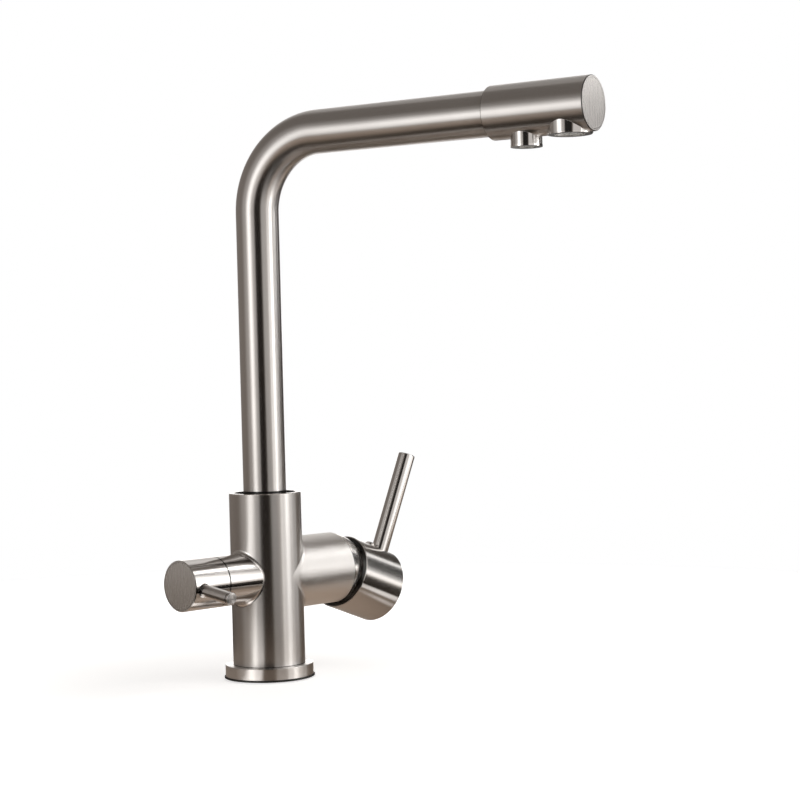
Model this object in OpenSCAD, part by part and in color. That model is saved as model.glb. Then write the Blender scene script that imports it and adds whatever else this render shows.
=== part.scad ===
// Three-way kitchen mixer: a column with a swivelling L-shaped spout, a lever for hot and cold water on one
// side, a quarter-turn valve for filtered water on the other, and an outlet for each in the spout's head.
// Lengths are in millimetres and angles in degrees. The origin is on the column's axis at the worktop,
// +Z is up, the user stands at -Y, the mixer lever is at +X and the filter valve at -X.

/* [Base] */
// Height of the rubber gasket
gasket_h = 1; // [0.5:0.1:2]
// How far the gasket shows past the flange
gasket_lip = 0.7; // [0.2:0.1:1.5]
// Height of the cover flange
flange_h = 6.7; // [4:0.1:10]
// How far the flange stands out past the column
flange_step = 4.65; // [3:0.05:8]
// How far the column's foot is stepped in to fit the flange
spigot_step = 3; // [2:0.1:3.5]
// Chamfer of the turned edges that show
edge_chamfer = 0.4; // [0.2:0.1:0.6]

/* [Water ports] */
// Radius of the circle that the water ports lie on
port_circle_r = 10.5; // [10:0.1:11]
// Half the angle between the hot and cold ports
port_half_angle = 60; // [55:1:65]
// Radius of the tapped hole for a supply hose
inlet_r = 4.5; // [4:0.1:4.8]
// Depth of the tapped hole for a supply hose
inlet_depth = 15; // [10:1:20]
// Radius of the drilled waterways
water_r = 3; // [2:0.1:3.2]
// Radius of the tapped hole for the fixing stud
stud_hole_r = 3.4; // [2.5:0.1:4]
// Depth of the tapped hole for the fixing stud
stud_hole_depth = 16; // [10:1:20]

/* [Column and swivel joint] */
// Height of the column's top above the worktop
body_top = 107.3; // [103:0.1:130]
// Wall of the rim round the sunk ring nut
rim_wall = 2.8; // [1.5:0.1:5]
// Height of the branch axis above the worktop
branch_z = 58.7; // [50:0.1:60]
// How deep the ring nut is sunk below the column's top
nut_recess = 4.3; // [1:0.1:8]
// Height of the ring nut
nut_h = 10.3; // [6:0.1:12]
// Width of the shoulder that the ring nut seats on
nut_seat = 2.4; // [1.5:0.1:4]
// Radial gap between the ring nut and the tube
nut_gap = 0.5; // [0.3:0.1:1]
// Height of the collar that the ring nut traps
collar_h = 4.5; // [3:0.1:6]
// How far the collar stands out past the tube
collar_step = 3; // [2:0.1:5]
// Wall of the swivel foot round its waterway
foot_wall = 3.45; // [3:0.05:4]
// Wall of the plug that holds the tube
plug_wall = 2.7; // [1.5:0.1:4]
// Height of the plug inside the tube
plug_h = 12; // [6:1:20]
// Section radius of the swivel seals
seal_r = 0.9; // [0.6:0.1:1.1]
// Rise of the mixing chamber's floor above the branch axis
mix_floor_rise = 9.3; // [9:0.1:10.5]
// Height of the mixing chamber under the swivel foot
mix_gap = 4.5; // [3:0.1:6]

/* [Spout] */
// Outer radius of the tube
tube_r = 12.5; // [11.5:0.1:14]
// Wall of the tube
tube_wall = 1.3; // [0.8:0.1:1.6]
// Radius of the bend to the tube's axis
bend_r = 43.5; // [30:0.5:60]
// Height of the arm's axis above the worktop
arm_z = 313.2; // [240:0.1:380]
// Reach from the column's axis to the end of the head
spout_reach = 216.6; // [180:0.1:260]
// Turn of the spout at rest, from the front towards the mixer lever
spout_rest = 13.1; // [-30:0.1:30]

/* [Spout head] */
// Length of the head
head_len = 60; // [58:0.1:80]
// How far the head stands out past the tube
head_step = 2.25; // [2:0.05:4]
// Rounding of the head's back edge
head_round = 0.7; // [0.3:0.1:1.8]
// Thickness of the end cap
end_cap_h = 1.6; // [1:0.1:1.8]
// Wall of the rim round the end cap
end_cap_rim = 0.9; // [0.7:0.1:2]

/* [Outlets] */
// Distance of the filtered-water outlet from the end of the head
filter_outlet_back = 40; // [39:0.1:42]
// Gap between the tube's end and the threaded bore of the filtered-water outlet
tube_end_gap = 1.4; // [1:0.1:6]
// Drop of the filtered-water outlet's mouth below the arm's axis
filter_drop = 19.8; // [18:0.1:25]
// Radius of the threaded bore of the filtered-water outlet
filter_bore_r = 6.6; // [6:0.1:6.7]
// Wall of the boss of the filtered-water outlet
filter_boss_wall = 1.9; // [1.2:0.1:2.5]
// Width of the screw ring's lip at the filtered-water outlet
filter_lip = 2; // [1:0.1:2.4]
// Height of that lip
filter_lip_h = 1.1; // [0.5:0.1:2]
// Depth of the washer's seat in the filtered-water outlet below the arm's axis
filter_seat_drop = 10.5; // [10:0.1:11]
// Distance of the mixed-water outlet from the end of the head
main_outlet_back = 14.2; // [14:0.1:15]
// Drop of the mixed-water outlet's mouth below the arm's axis
main_drop = 15.3; // [15.2:0.1:18]
// Radius of the threaded bore of the mixed-water outlet
main_bore_r = 10.1; // [9:0.1:10.2]
// Wall of the boss of the mixed-water outlet
main_boss_wall = 2.1; // [1.5:0.1:2.2]
// Width of the screw ring's lip at the mixed-water outlet
main_lip = 1.7; // [1:0.1:2]
// Height of that lip
main_lip_h = 0.5; // [0.3:0.1:0.5]
// Depth of the washer's seat in the mixed-water outlet below the arm's axis
main_seat_drop = 3; // [2:0.1:4]
// Radius of the passage to the mixed-water outlet
main_passage_r = 5.5; // [4:0.1:6]
// Wall of a screw ring
ring_wall = 1.1; // [0.8:0.1:1.5]
// Width and height of the inner lip that carries a flow core
mouth_lip = 0.8; // [0.5:0.1:1]
// Height of a flow core
core_h = 5; // [3:0.1:5.5]
// Radius of the holes in a flow core
core_hole_r = 0.7; // [0.4:0.1:0.8]
// Spacing of the holes in a flow core
core_pitch = 2.2; // [2:0.1:3]
// Thickness of the outlet washers
washer_h = 1.2; // [0.8:0.1:1.5]

/* [Filtered-water line] */
// Outer radius of the inner hose
hose_r = 4; // [3.8:0.1:4.4]
// Wall of the inner hose
hose_wall = 1.1; // [0.8:0.1:1.4]
// Wall of the feed pipe and of the elbow's spigot
pipe_wall = 1; // [0.6:0.1:1.4]
// Depth of the feed pipe's seat in the column
pipe_seat = 5; // [3:0.1:5.5]
// Rise of the hose's end above the end of the swivel foot
hose_rise = 4.5; // [3:0.1:8]
// Length of the joint between the hose and a pipe
hose_joint = 8; // [5:0.5:10]
// Length of the elbow's arm
elbow_arm = 9; // [8.5:0.1:11]
// Thickness of the floor that carries the elbow
elbow_floor = 2.2; // [1.5:0.1:3]
// Wall of the filtered-water cup inside the head
cup_wall = 0.8; // [0.6:0.1:0.9]

/* [Mixer housing and cartridge] */
// Radius of the ceramic cartridge
cartridge_r = 17.5; // [17:0.1:18]
// Distance of the cartridge chamber's floor from the column's axis
chamber_x = 22; // [21.5:0.1:24]
// Distance of the housing's end from the column's axis
housing_end = 52.1; // [51:0.1:55]
// Wall of the housing round its thread
housing_wall = 2; // [1.5:0.1:3]
// Width of the shoulder under the cartridge's ring nut
cartridge_nut_seat = 1.45; // [1:0.05:2]
// Height of the cartridge's ring nut
cartridge_nut_h = 5.5; // [4:0.1:5.8]
// Chamfer of the housing's end
housing_chamfer = 0.9; // [0.5:0.1:1]
// Thickness of the cartridge's foot seals
foot_seal_h = 1; // [0.6:0.1:1.5]
// Width of a foot seal round its port
foot_seal_w = 1.6; // [1:0.1:2]
// Thickness of the cartridge's base
cartridge_base_h = 3; // [2:0.1:3.5]
// Length of the cartridge's shell below its shoulder
shell_len = 17; // [16.8:0.1:17.4]
// Wall of the cartridge's shell
shell_wall = 2.3; // [2:0.1:2.6]
// Length of the shell's neck past its shoulder
neck_len = 13; // [10:0.1:14]
// Radius of the shell's neck
neck_r = 14; // [13.5:0.1:14.4]
// Wall of the shell's neck
neck_wall = 2.4; // [2:0.1:2.6]
// Thickness of the fixed ceramic disc
fixed_disc_h = 4; // [3:0.1:4.2]
// Thickness of the moving ceramic disc
moving_disc_h = 2.95; // [2.5:0.05:3]
// Radius of the moving ceramic disc
moving_disc_r = 9.5; // [8.5:0.1:9.8]
// Thickness of the guide on the moving disc
guide_h = 3.8; // [3.5:0.1:3.9]

/* [Mixer lever] */
// Depth of the lever's pivot inside the housing's end
pivot_inset = 2.1; // [1.5:0.1:2.5]
// How far the lever is lifted open at rest
lift_rest = 20.4; // [0:0.1:21]
// How much further the lever lifts
lift_spare = 1.5; // [0:0.1:1.6]
// Turn of the lever at rest, from upright towards the user
turn_rest = 4.5; // [-45:0.1:45]
// Radius of the pivot pin
pivot_pin_r = 1.5; // [1:0.1:2]
// Width of the square stem
stem_w = 8; // [7:0.1:9]
// Length of the stem past the pivot
stem_len = 33.5; // [30:0.1:34]
// Distance of the stem's ball below the pivot
ball_arm = 14.5; // [14.2:0.1:14.6]
// Radius of the stem's ball
ball_r = 2.2; // [1.9:0.1:2.3]
// Radius of the arm that carries the ball
ball_neck_r = 1.7; // [1.4:0.1:1.8]
// How far the bonnet is stepped in from the housing
bonnet_step = 0.5; // [0.4:0.1:1.5]
// How far the bonnet reaches past the pivot
bonnet_reach = 12.5; // [10:0.1:13]
// How far the hub stands out past the housing
hub_step = 1; // [0:0.1:2]
// Wall of the hub's skirt
hub_wall = 3; // [2:0.1:3.5]
// Gap between the bonnet's dome and the hub's edge
hub_gap = 0.83; // [0.7:0.01:2]
// Length of the hub
hub_len = 33.9; // [33:0.1:45]
// Depth of the hub's hollow
hub_hollow = 15.8; // [12:0.1:17]
// Radius of the lever's rod
rod_r = 5.2; // [4:0.1:5.3]
// Distance of the rod's tip from the hub's axis
rod_tip = 83.8; // [60:0.1:120]
// Distance of the rod's axis from the hub's end
rod_inset = 5.9; // [5.8:0.1:7]
// Depth of the rod's seat in the hub
rod_seat = 4; // [2:0.1:5]
// Radius of the rod's threaded stud
stud_r = 3; // [2:0.1:3.5]
// Length of the rod's threaded stud
stud_len = 8; // [5:0.1:9]
// Radius of the grub screw
grub_r = 2.5; // [2:0.1:2.6]
// Length of the grub screw
grub_len = 10; // [6:0.1:11]
// Distance of the grub screw from the hub's end
grub_inset = 15; // [14.8:0.1:15.2]
// Radius of the index plug's button
plug_r = 3.3; // [2.8:0.1:3.4]
// Height of the index plug's button
plug_button_h = 2.1; // [1:0.1:3]
// Chamfer of the index plug's button
plug_chamfer = 0.8; // [0.4:0.1:0.9]
// Depth of the button's seat in the hub
plug_seat = 0.5; // [0.4:0.1:1]
// Length of the plug's stem in the screw hole
plug_stem_len = 4; // [2:0.1:5]

/* [Filter valve] */
// Radius of the threaded chamber of the filter valve
valve_thread_r = 9; // [8.5:0.1:10]
// Wall of the stub round that thread
stub_wall = 5.45; // [4.8:0.05:7]
// Distance of the stub's end from the column's axis
stub_end = 40.05; // [38:0.05:45]
// Distance of the valve chamber's floor from the column's axis
valve_floor = 7; // [6.5:0.1:7.4]
// Radius of the chamber round the valve's nose
nose_chamber_r = 7.5; // [7:0.1:7.8]
// Radial gap of the water round the valve's nose
nose_gap = 0.9; // [0.6:0.1:1]
// Wall of the valve's nose
nose_wall = 1.4; // [1:0.1:1.6]
// Length of the valve's threaded part
valve_thread_len = 16; // [12:0.1:18]
// Radius of the valve's six-sided flange
valve_flange_r = 10.5; // [10:0.1:11]
// Height of the valve's flange
valve_flange_h = 4; // [3:0.1:5]
// Height of the spindle's guide past the flange
valve_guide_h = 4; // [2:0.1:5]
// Wall of the spindle's guide
valve_guide_wall = 3; // [2:0.1:4]
// Thickness of the seal under the valve
valve_seal_h = 1.5; // [1:0.1:2]
// Thickness of a valve disc
valve_disc_h = 2.5; // [2:0.1:3]
// Radius of the water ports in the valve discs
valve_port_r = 1.2; // [0.8:0.1:1.4]
// Height of the spindle's driver
driver_h = 4; // [3:0.1:5]
// Width of the tab that turns the moving disc
tab_w = 2.2; // [1.5:0.1:2.4]
// Length of that tab
tab_len = 8.4; // [6:0.1:9]
// Depth of that tab
tab_h = 0.9; // [0.6:0.1:1]
// Radius of the spindle
spindle_r = 3.05; // [2.8:0.05:3.4]
// Width of the spindle's square end
spindle_square = 4.2; // [3.8:0.1:4.3]
// Length of the spindle's square end
square_len = 8; // [6:0.1:8.5]

/* [Filter knob] */
// Gap between the knob and the stub
knob_gap = 0.3; // [0.2:0.05:0.8]
// Length of the knob
knob_len = 25.05; // [25:0.05:32]
// Wall of the knob's skirt
knob_wall = 2.95; // [2:0.05:3.2]
// Gap between the valve's guide and the knob's web
knob_web_gap = 1.2; // [0.5:0.1:2]
// Thickness of the knob's cap
knob_cap_h = 1.6; // [1:0.1:1.8]
// Wall of the rim round the knob's cap
knob_cap_rim = 0.7; // [0.5:0.1:1.5]
// Thickness of the knob's web under the screw's head
screw_web = 1; // [0.6:0.1:1.4]
// Radius of the knob's screw
knob_screw_r = 1.5; // [1:0.1:1.6]
// Radius of the screw's head
screw_head_r = 3; // [2.4:0.1:3.4]
// Height of the screw's head
screw_head_h = 2.4; // [1.5:0.1:2.6]
// Length of the screw below its head
screw_len = 7.5; // [5:0.1:8]
// Width across the corners of the screw's six-sided recess
screw_recess_w = 2.8; // [2:0.1:3]
// Radius of the knob's pin lever
lever_r = 3.5; // [2.5:0.1:3.6]
// Distance of the pin lever's axis from the knob's end
lever_inset = 5.9; // [5.8:0.1:8]
// Length of the pin lever past the knob's surface
lever_len = 24; // [12:0.5:40]
// Depth of the pin lever in the knob
lever_depth = 6.4; // [4:0.1:8]
// Droop of the pin lever below level at rest
lever_droop = 8; // [-20:1:20]
// Width of the dark joint round the pin lever's foot
lever_joint = 0.5; // [0.3:0.1:0.6]
// Depth of that joint
lever_joint_h = 1.8; // [1:0.1:3]
// Length of the pin lever's tip past its groove
lever_tip = 2.1; // [1:0.1:4]
// Width and depth of the groove near the tip
lever_groove = 0.5; // [0.2:0.1:0.8]
// Chamfer of the pin lever's tip
lever_chamfer = 0.9; // [0.3:0.1:1.2]

/* [Clearances] */
// Radial clearance of a shaft that turns in its bore
running = 0.05; // [0.02:0.01:0.1]
// Radial clearance of a piece that is fixed in its seat
seat = 0.05; // [0.02:0.01:0.1]
// Gap between flat faces that slide on each other
slide_gap = 0.1; // [0.05:0.01:0.2]
// Gap between a moving piece and the space that it moves in
loose = 0.3; // [0.2:0.05:0.5]

/* [Hidden] */
$fn = 96;
nickel = [0.66, 0.63, 0.60];
bright = [0.80, 0.79, 0.77];
brass = [0.72, 0.58, 0.32];
rubber = [0.06, 0.06, 0.06];
ceramic = [0.92, 0.91, 0.88];
plastic = [0.86, 0.86, 0.84];
steel = [0.55, 0.55, 0.56];

// How far a cutter reaches past the face that it cuts
cut = 1;

// Seals on the swivel foot, and the rows and arms of the holes in the flow cores
seal_count = 2;
main_core_rows = 3;
filter_core_rows = 1;
core_arms = 6;

// Column and base, worked out from the tube outwards
tube_in_r = tube_r - tube_wall;
waterway_r = tube_in_r - plug_wall;
foot_r = waterway_r + foot_wall;
collar_r = tube_r + collar_step;
collar_bore_r = collar_r + loose;
nut_thread_r = collar_bore_r + nut_seat;
body_r = nut_thread_r + rim_wall;
spigot_r = body_r - spigot_step;
flange_r = body_r + flange_step;
gasket_r = flange_r + gasket_lip;
flange_top = gasket_h + flange_h;

// Heights in the swivel joint, from the column's top downwards
nut_top = body_top - nut_recess;
nut_bottom = nut_top - nut_h;
collar_top = nut_bottom - slide_gap;
collar_bottom = collar_top - collar_h;
shoulder_z = collar_bottom - slide_gap;
mix_floor = branch_z + mix_floor_rise;
foot_bottom = mix_floor + mix_gap;
seal_spacing = (collar_bottom - foot_bottom) / (seal_count + 1);

// Water ports
port_x = port_circle_r * cos(port_half_angle);
port_y = port_circle_r * sin(port_half_angle);

// Spout and head, along the arm from the column's axis
head_r = tube_r + head_step;
head_start = spout_reach - head_len;
filter_outlet_x = spout_reach - filter_outlet_back;
main_outlet_x = spout_reach - main_outlet_back;
tube_end = filter_outlet_x - filter_bore_r - tube_end_gap;
end_cap_r = head_r - edge_chamfer - end_cap_rim;
filter_boss_drop = filter_drop - filter_lip_h;
filter_boss_r = filter_bore_r + filter_boss_wall;
main_boss_drop = main_drop - main_lip_h;
main_boss_r = main_bore_r + main_boss_wall;
cavity_end = main_outlet_x - main_boss_r;

// Filtered-water line
hose_in_r = hose_r - hose_wall;
pipe_r = hose_in_r - running;
pipe_bore_r = pipe_r - pipe_wall;
pipe_bottom = mix_floor - pipe_seat;
hose_bottom = foot_bottom + hose_rise;
hose_end = filter_outlet_x - elbow_arm;

// Mixer housing and cartridge, along +X from the column's axis
chamber_r = cartridge_r + seat;
cartridge_thread_r = chamber_r + cartridge_nut_seat;
housing_r = cartridge_thread_r + housing_wall;
base_x = chamber_x + foot_seal_h;
shell_x = base_x + cartridge_base_h;
shoulder_x = shell_x + shell_len;
shell_bore_r = cartridge_r - shell_wall;
neck_bore_r = neck_r - neck_wall;
moving_disc_x = shell_x + fixed_disc_h + running;
guide_x = moving_disc_x + moving_disc_h;
carrier_x = guide_x + guide_h + loose;
cap_plate_x = shoulder_x - neck_wall;
carrier_flange_end = cap_plate_x - slide_gap;
carrier_end = shoulder_x + neck_len - loose;
carrier_r = neck_bore_r - running;
carrier_flange_r = shell_bore_r - loose;

// Mixer lever, in a frame whose X runs along the hub from the pivot and whose Z runs along the rod
pivot_x = housing_end - pivot_inset;
lift_open = lift_rest + lift_spare;
slot_w = stem_w + 2 * loose;
slot_half = ball_arm * sin(lift_open) + ball_r + loose;
stem_foot = stem_w / 2;
hub_r = housing_r + hub_step;
hub_in_r = hub_r - hub_wall;
bonnet_r = housing_r - bonnet_step;
hub_start = sqrt(pow(bonnet_r + hub_gap, 2) - pow(hub_in_r, 2));
hub_end = hub_start + hub_len;
hollow_end = hub_start + hub_hollow;
rod_s = hub_end - rod_inset;
rod_foot = hub_r - rod_seat;
grub_s = hub_end - grub_inset;
plug_foot = hub_r - plug_seat;

// Filter valve and knob, as distances from the column's axis along -X
stub_r = valve_thread_r + stub_wall;
valve_shoulder = stub_end - valve_thread_len;
seal_top = valve_floor + valve_seal_h;
nose_r = nose_chamber_r - nose_gap;
disc_bore_r = nose_r - nose_wall;
valve_disc_r = disc_bore_r - running;
turning_disc_d = seal_top + valve_disc_h + running;
driver_d = turning_disc_d + valve_disc_h + running;
driver_top = driver_d + driver_h;
valve_flange_top = stub_end + valve_flange_h;
guide_top = valve_flange_top + valve_guide_h;
knob_start = stub_end + knob_gap;
knob_end = knob_start + knob_len;
knob_web = guide_top + knob_web_gap;
knob_in_r = stub_r - knob_wall;
spindle_top = knob_web + square_len;
screw_seat_d = spindle_top + slide_gap + screw_web;
knob_cap_d = knob_end - knob_cap_h;
knob_cap_r = stub_r - edge_chamfer - knob_cap_rim;
lever_d = knob_end - lever_inset;
lever_start = stub_r - lever_depth;
lever_end = stub_r + lever_len;

// Frames of the branches, the spout and the lever

// Z of the children runs along +X from the column's axis
module mixer_side(x = 0) {
    translate([x, 0, branch_z]) rotate([0, 90, 0]) children();
}

// Z of the children runs along -X from the column's axis
module filter_side(d = 0) {
    translate([-d, 0, branch_z]) rotate([0, -90, 0]) children();
}

// X of the children runs along the spout's arm
module spout_frame() {
    rotate([0, 0, spout_rest - 90]) children();
}

// Z of the children runs along the arm, from a distance x along it
module along_arm(x = 0) {
    spout_frame() translate([x, 0, arm_z]) rotate([0, 90, 0]) children();
}

// Z of the children runs up, with its zero on the arm's axis
module at_outlet(x) {
    spout_frame() translate([x, 0, arm_z]) children();
}

// The cartridge's turned parts: Z of the children runs along +X from a distance x
module turned_side(x = 0) {
    translate([x, 0, branch_z]) rotate([turn_rest, 0, 0]) rotate([0, 90, 0]) children();
}

// X of the children runs along the hub's axis from the pivot, Z along the rod
module lever_frame() {
    translate([pivot_x, 0, branch_z]) rotate([turn_rest, 0, 0]) rotate([0, lift_rest, 0]) children();
}

// Z of the children runs along the pin lever from the knob's axis
module pin_lever_frame() {
    translate([-lever_d, 0, branch_z]) rotate([90 + lever_droop, 0, 0]) children();
}

// Shapes that repeat

module ring(outer, inner, h) {
    difference() {
        cylinder(r = outer, h = h);
        translate([0, 0, -cut]) cylinder(r = inner, h = h + 2 * cut);
    }
}

// A cylinder with a chamfer on its top edge
module chamfered(r, h, c) {
    rotate_extrude() polygon([[0, 0], [r, 0], [r, h - c], [r - c, h], [0, h]]);
}

// A solid run up the column's axis, round the bend and along the arm
module spout_run(r, bottom, end) {
    translate([0, 0, bottom]) cylinder(r = r, h = arm_z - bend_r - bottom);
    translate([bend_r, 0, arm_z - bend_r])
        rotate([90, 0, 0])
            rotate([0, 0, 90])
                rotate_extrude(angle = 90) translate([bend_r, 0]) circle(r = r);
    translate([bend_r, 0, arm_z]) rotate([0, 90, 0]) cylinder(r = r, h = end - bend_r);
}

module spout_pipe(outer, inner, bottom, end) {
    difference() {
        spout_run(outer, bottom, end);
        spout_run(inner, bottom - cut, end + cut);
    }
}

// The ports of the cartridge: hot and cold below its axis, the mixed outlet above it
module cartridge_ports() {
    for (angle = [port_half_angle, -port_half_angle, 180])
        rotate([0, 0, angle]) translate([port_circle_r, 0, 0]) children();
}

// A ring that screws into an outlet from below, with an outer lip and a narrower mouth
module screw_ring(bore_r, lip, drop, boss_drop, seat_drop) {
    shank_r = bore_r - seat;
    inner_r = shank_r - ring_wall;
    difference() {
        union() {
            translate([0, 0, -drop]) cylinder(r = bore_r + lip, h = drop - boss_drop);
            translate([0, 0, -drop]) cylinder(r = shank_r, h = drop - seat_drop - washer_h);
        }
        translate([0, 0, mouth_lip - drop]) cylinder(r = inner_r, h = drop);
        translate([0, 0, -drop - cut]) cylinder(r = inner_r - mouth_lip, h = drop);
    }
}

// A round core with rows of straight holes
module flow_core(bore_r, drop, rows) {
    core_r = bore_r - ring_wall - 2 * seat;
    translate([0, 0, mouth_lip - drop]) difference() {
        cylinder(r = core_r, h = core_h);
        for (row = [0 : rows])
            for (i = [0 : max(1, core_arms * row) - 1])
                rotate([0, 0, i * 360 / core_arms / max(1, row)])
                    translate([row * core_pitch, 0, -cut]) cylinder(r = core_hole_r, h = core_h + 2 * cut);
    }
}

module outlet_washer(bore_r, seat_drop) {
    translate([0, 0, -seat_drop - washer_h])
        ring(bore_r - seat, bore_r - seat - ring_wall - mouth_lip, washer_h);
}

// Base

module base_gasket() {
    color(rubber) ring(gasket_r, spigot_r + seat, gasket_h);
}

module base_flange() {
    color(nickel) translate([0, 0, gasket_h]) difference() {
        chamfered(flange_r, flange_h, edge_chamfer);
        translate([0, 0, -cut]) cylinder(r = spigot_r + seat, h = flange_h + 2 * cut);
    }
}

// Column with the mixer housing and the filter stub

module body_outside() {
    cylinder(r = spigot_r, h = flange_top + cut);
    translate([0, 0, flange_top]) chamfered(body_r, body_top - flange_top, edge_chamfer);
    mixer_side() chamfered(housing_r, housing_end, housing_chamfer);
    filter_side() cylinder(r = stub_r, h = stub_end);
}

module swivel_bores() {
    translate([0, 0, nut_bottom]) cylinder(r = nut_thread_r, h = body_top - nut_bottom + cut);
    translate([0, 0, shoulder_z]) cylinder(r = collar_bore_r, h = nut_bottom - shoulder_z + cut);
    translate([0, 0, mix_floor]) cylinder(r = foot_r + running, h = shoulder_z - mix_floor + cut);
}

module mixer_bores() {
    mixer_side(chamber_x) cylinder(r = chamber_r, h = housing_end - chamber_x + cut);
    mixer_side(shoulder_x) cylinder(r = cartridge_thread_r, h = housing_end - shoulder_x + cut);
    for (side = [-1, 1]) {
        translate([port_x, side * port_y, -cut]) cylinder(r = inlet_r, h = inlet_depth + cut);
        translate([port_x, side * port_y, 0]) cylinder(r = water_r, h = branch_z - port_x);
        translate([port_x, side * port_y, branch_z - port_x])
            rotate([0, 90, 0]) cylinder(r = water_r, h = chamber_x - port_x + cut);
    }
    mixer_side() translate([-port_circle_r, 0, 0]) cylinder(r = water_r, h = chamber_x + cut);
}

module filter_bores() {
    filter_side(valve_shoulder) cylinder(r = valve_thread_r, h = valve_thread_len + cut);
    filter_side(valve_floor) cylinder(r = nose_chamber_r, h = valve_shoulder - valve_floor + cut);
    filter_side() cylinder(r = pipe_bore_r, h = valve_floor + cut);
    translate([0, 0, branch_z]) cylinder(r = pipe_bore_r, h = pipe_bottom - branch_z + cut);
    translate([0, 0, pipe_bottom]) cylinder(r = pipe_r + seat, h = pipe_seat + cut);
    translate([-port_circle_r, 0, -cut]) cylinder(r = inlet_r, h = inlet_depth + cut);
    translate([-port_circle_r, 0, 0]) cylinder(r = water_r, h = branch_z - nose_r);
}

module tap_body() {
    color(nickel) difference() {
        body_outside();
        swivel_bores();
        mixer_bores();
        filter_bores();
        translate([0, 0, -cut]) cylinder(r = stud_hole_r, h = stud_hole_depth + cut);
    }
}

// Swivel joint

module spout_nut() {
    color(nickel) translate([0, 0, nut_bottom]) ring(nut_thread_r - seat, tube_r + nut_gap, nut_h);
}

module seal_places() {
    for (i = [1 : seal_count]) translate([0, 0, foot_bottom + i * seal_spacing]) children();
}

module spout_base() {
    color(brass) difference() {
        union() {
            translate([0, 0, foot_bottom]) cylinder(r = foot_r, h = collar_top - foot_bottom);
            translate([0, 0, collar_bottom]) cylinder(r = collar_r, h = collar_h);
            translate([0, 0, collar_top - cut]) cylinder(r = tube_in_r - seat, h = plug_h + cut);
        }
        translate([0, 0, foot_bottom - cut])
            cylinder(r = waterway_r, h = collar_top + plug_h - foot_bottom + 2 * cut);
        seal_places() translate([0, 0, -seal_r - seat])
            ring(foot_r + cut, foot_r - 2 * seal_r - seat, 2 * (seal_r + seat));
    }
}

module spout_o_rings() {
    color(rubber) seal_places() rotate_extrude() translate([foot_r - seal_r, 0]) circle(r = seal_r);
}

// Spout

module spout_tube() {
    color(nickel) spout_frame() spout_pipe(tube_r, tube_in_r, collar_top, tube_end);
}

module filter_feed_pipe() {
    color(brass) translate([0, 0, pipe_bottom])
        ring(pipe_r, pipe_bore_r, hose_bottom + hose_joint - pipe_bottom);
}

module filter_hose() {
    color(plastic) spout_frame() spout_pipe(hose_r, hose_in_r, hose_bottom, hose_end);
}

module filter_elbow() {
    color(brass) difference() {
        union() {
            at_outlet(filter_outlet_x) translate([0, 0, -filter_seat_drop])
                cylinder(r = hose_r, h = filter_seat_drop);
            at_outlet(filter_outlet_x) sphere(r = hose_r);
            along_arm(hose_end) cylinder(r = hose_r, h = elbow_arm);
            along_arm(hose_end - hose_joint) cylinder(r = hose_in_r - seat, h = hose_joint + cut);
        }
        at_outlet(filter_outlet_x) translate([0, 0, -filter_seat_drop - cut])
            cylinder(r = pipe_bore_r, h = filter_seat_drop + cut);
        along_arm(hose_end - hose_joint - cut) cylinder(r = pipe_bore_r, h = hose_joint + elbow_arm + cut);
    }
}

module head_outside() {
    along_arm(head_start) rotate_extrude() difference() {
        polygon([[0, 0], [head_r, 0], [head_r, head_len - edge_chamfer],
            [head_r - edge_chamfer, head_len], [0, head_len]]);
        translate([head_r - head_round, -cut]) difference() {
            square([head_round + cut, head_round + cut]);
            translate([0, head_round + cut]) circle(r = head_round);
        }
    }
    at_outlet(filter_outlet_x) translate([0, 0, -filter_boss_drop])
        cylinder(r = filter_boss_r, h = filter_boss_drop);
    at_outlet(main_outlet_x) translate([0, 0, -main_boss_drop])
        cylinder(r = main_boss_r, h = main_boss_drop);
}

// The cup that keeps the filtered water apart, standing in the head's cavity
module filter_cup() {
    at_outlet(filter_outlet_x) translate([0, 0, -filter_boss_drop])
        cylinder(r = filter_bore_r + cup_wall, h = filter_boss_drop - filter_seat_drop + elbow_floor);
}

module head_bores() {
    along_arm(head_start - cut) cylinder(r = tube_r + seat, h = tube_end - head_start + cut);
    along_arm(spout_reach - end_cap_h) cylinder(r = end_cap_r + seat, h = end_cap_h + cut);
    at_outlet(filter_outlet_x) {
        translate([0, 0, -filter_drop]) cylinder(r = filter_bore_r, h = filter_drop - filter_seat_drop);
        translate([0, 0, -filter_drop]) cylinder(r = hose_r + seat, h = filter_drop);
    }
    at_outlet(main_outlet_x) {
        translate([0, 0, -main_drop]) cylinder(r = main_bore_r, h = main_drop - main_seat_drop);
        translate([0, 0, -main_drop]) cylinder(r = main_passage_r, h = main_drop);
        sphere(r = main_passage_r);
    }
    along_arm(cavity_end - cut) cylinder(r = main_passage_r, h = main_outlet_x - cavity_end + cut);
}

module spout_head() {
    color(nickel) difference() {
        union() {
            difference() {
                head_outside();
                along_arm(tube_end - cut) cylinder(r = tube_in_r, h = cavity_end - tube_end + cut);
            }
            filter_cup();
        }
        head_bores();
    }
}

module spout_end_cap() {
    color(nickel) along_arm(spout_reach - end_cap_h) cylinder(r = end_cap_r, h = end_cap_h);
}

module main_aerator_ring() {
    color(bright) at_outlet(main_outlet_x)
        screw_ring(main_bore_r, main_lip, main_drop, main_boss_drop, main_seat_drop);
}

module main_aerator_core() {
    color(plastic) at_outlet(main_outlet_x) flow_core(main_bore_r, main_drop, main_core_rows);
}

module main_aerator_washer() {
    color(rubber) at_outlet(main_outlet_x) outlet_washer(main_bore_r, main_seat_drop);
}

module filter_nozzle_ring() {
    color(bright) at_outlet(filter_outlet_x)
        screw_ring(filter_bore_r, filter_lip, filter_drop, filter_boss_drop, filter_seat_drop);
}

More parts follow.
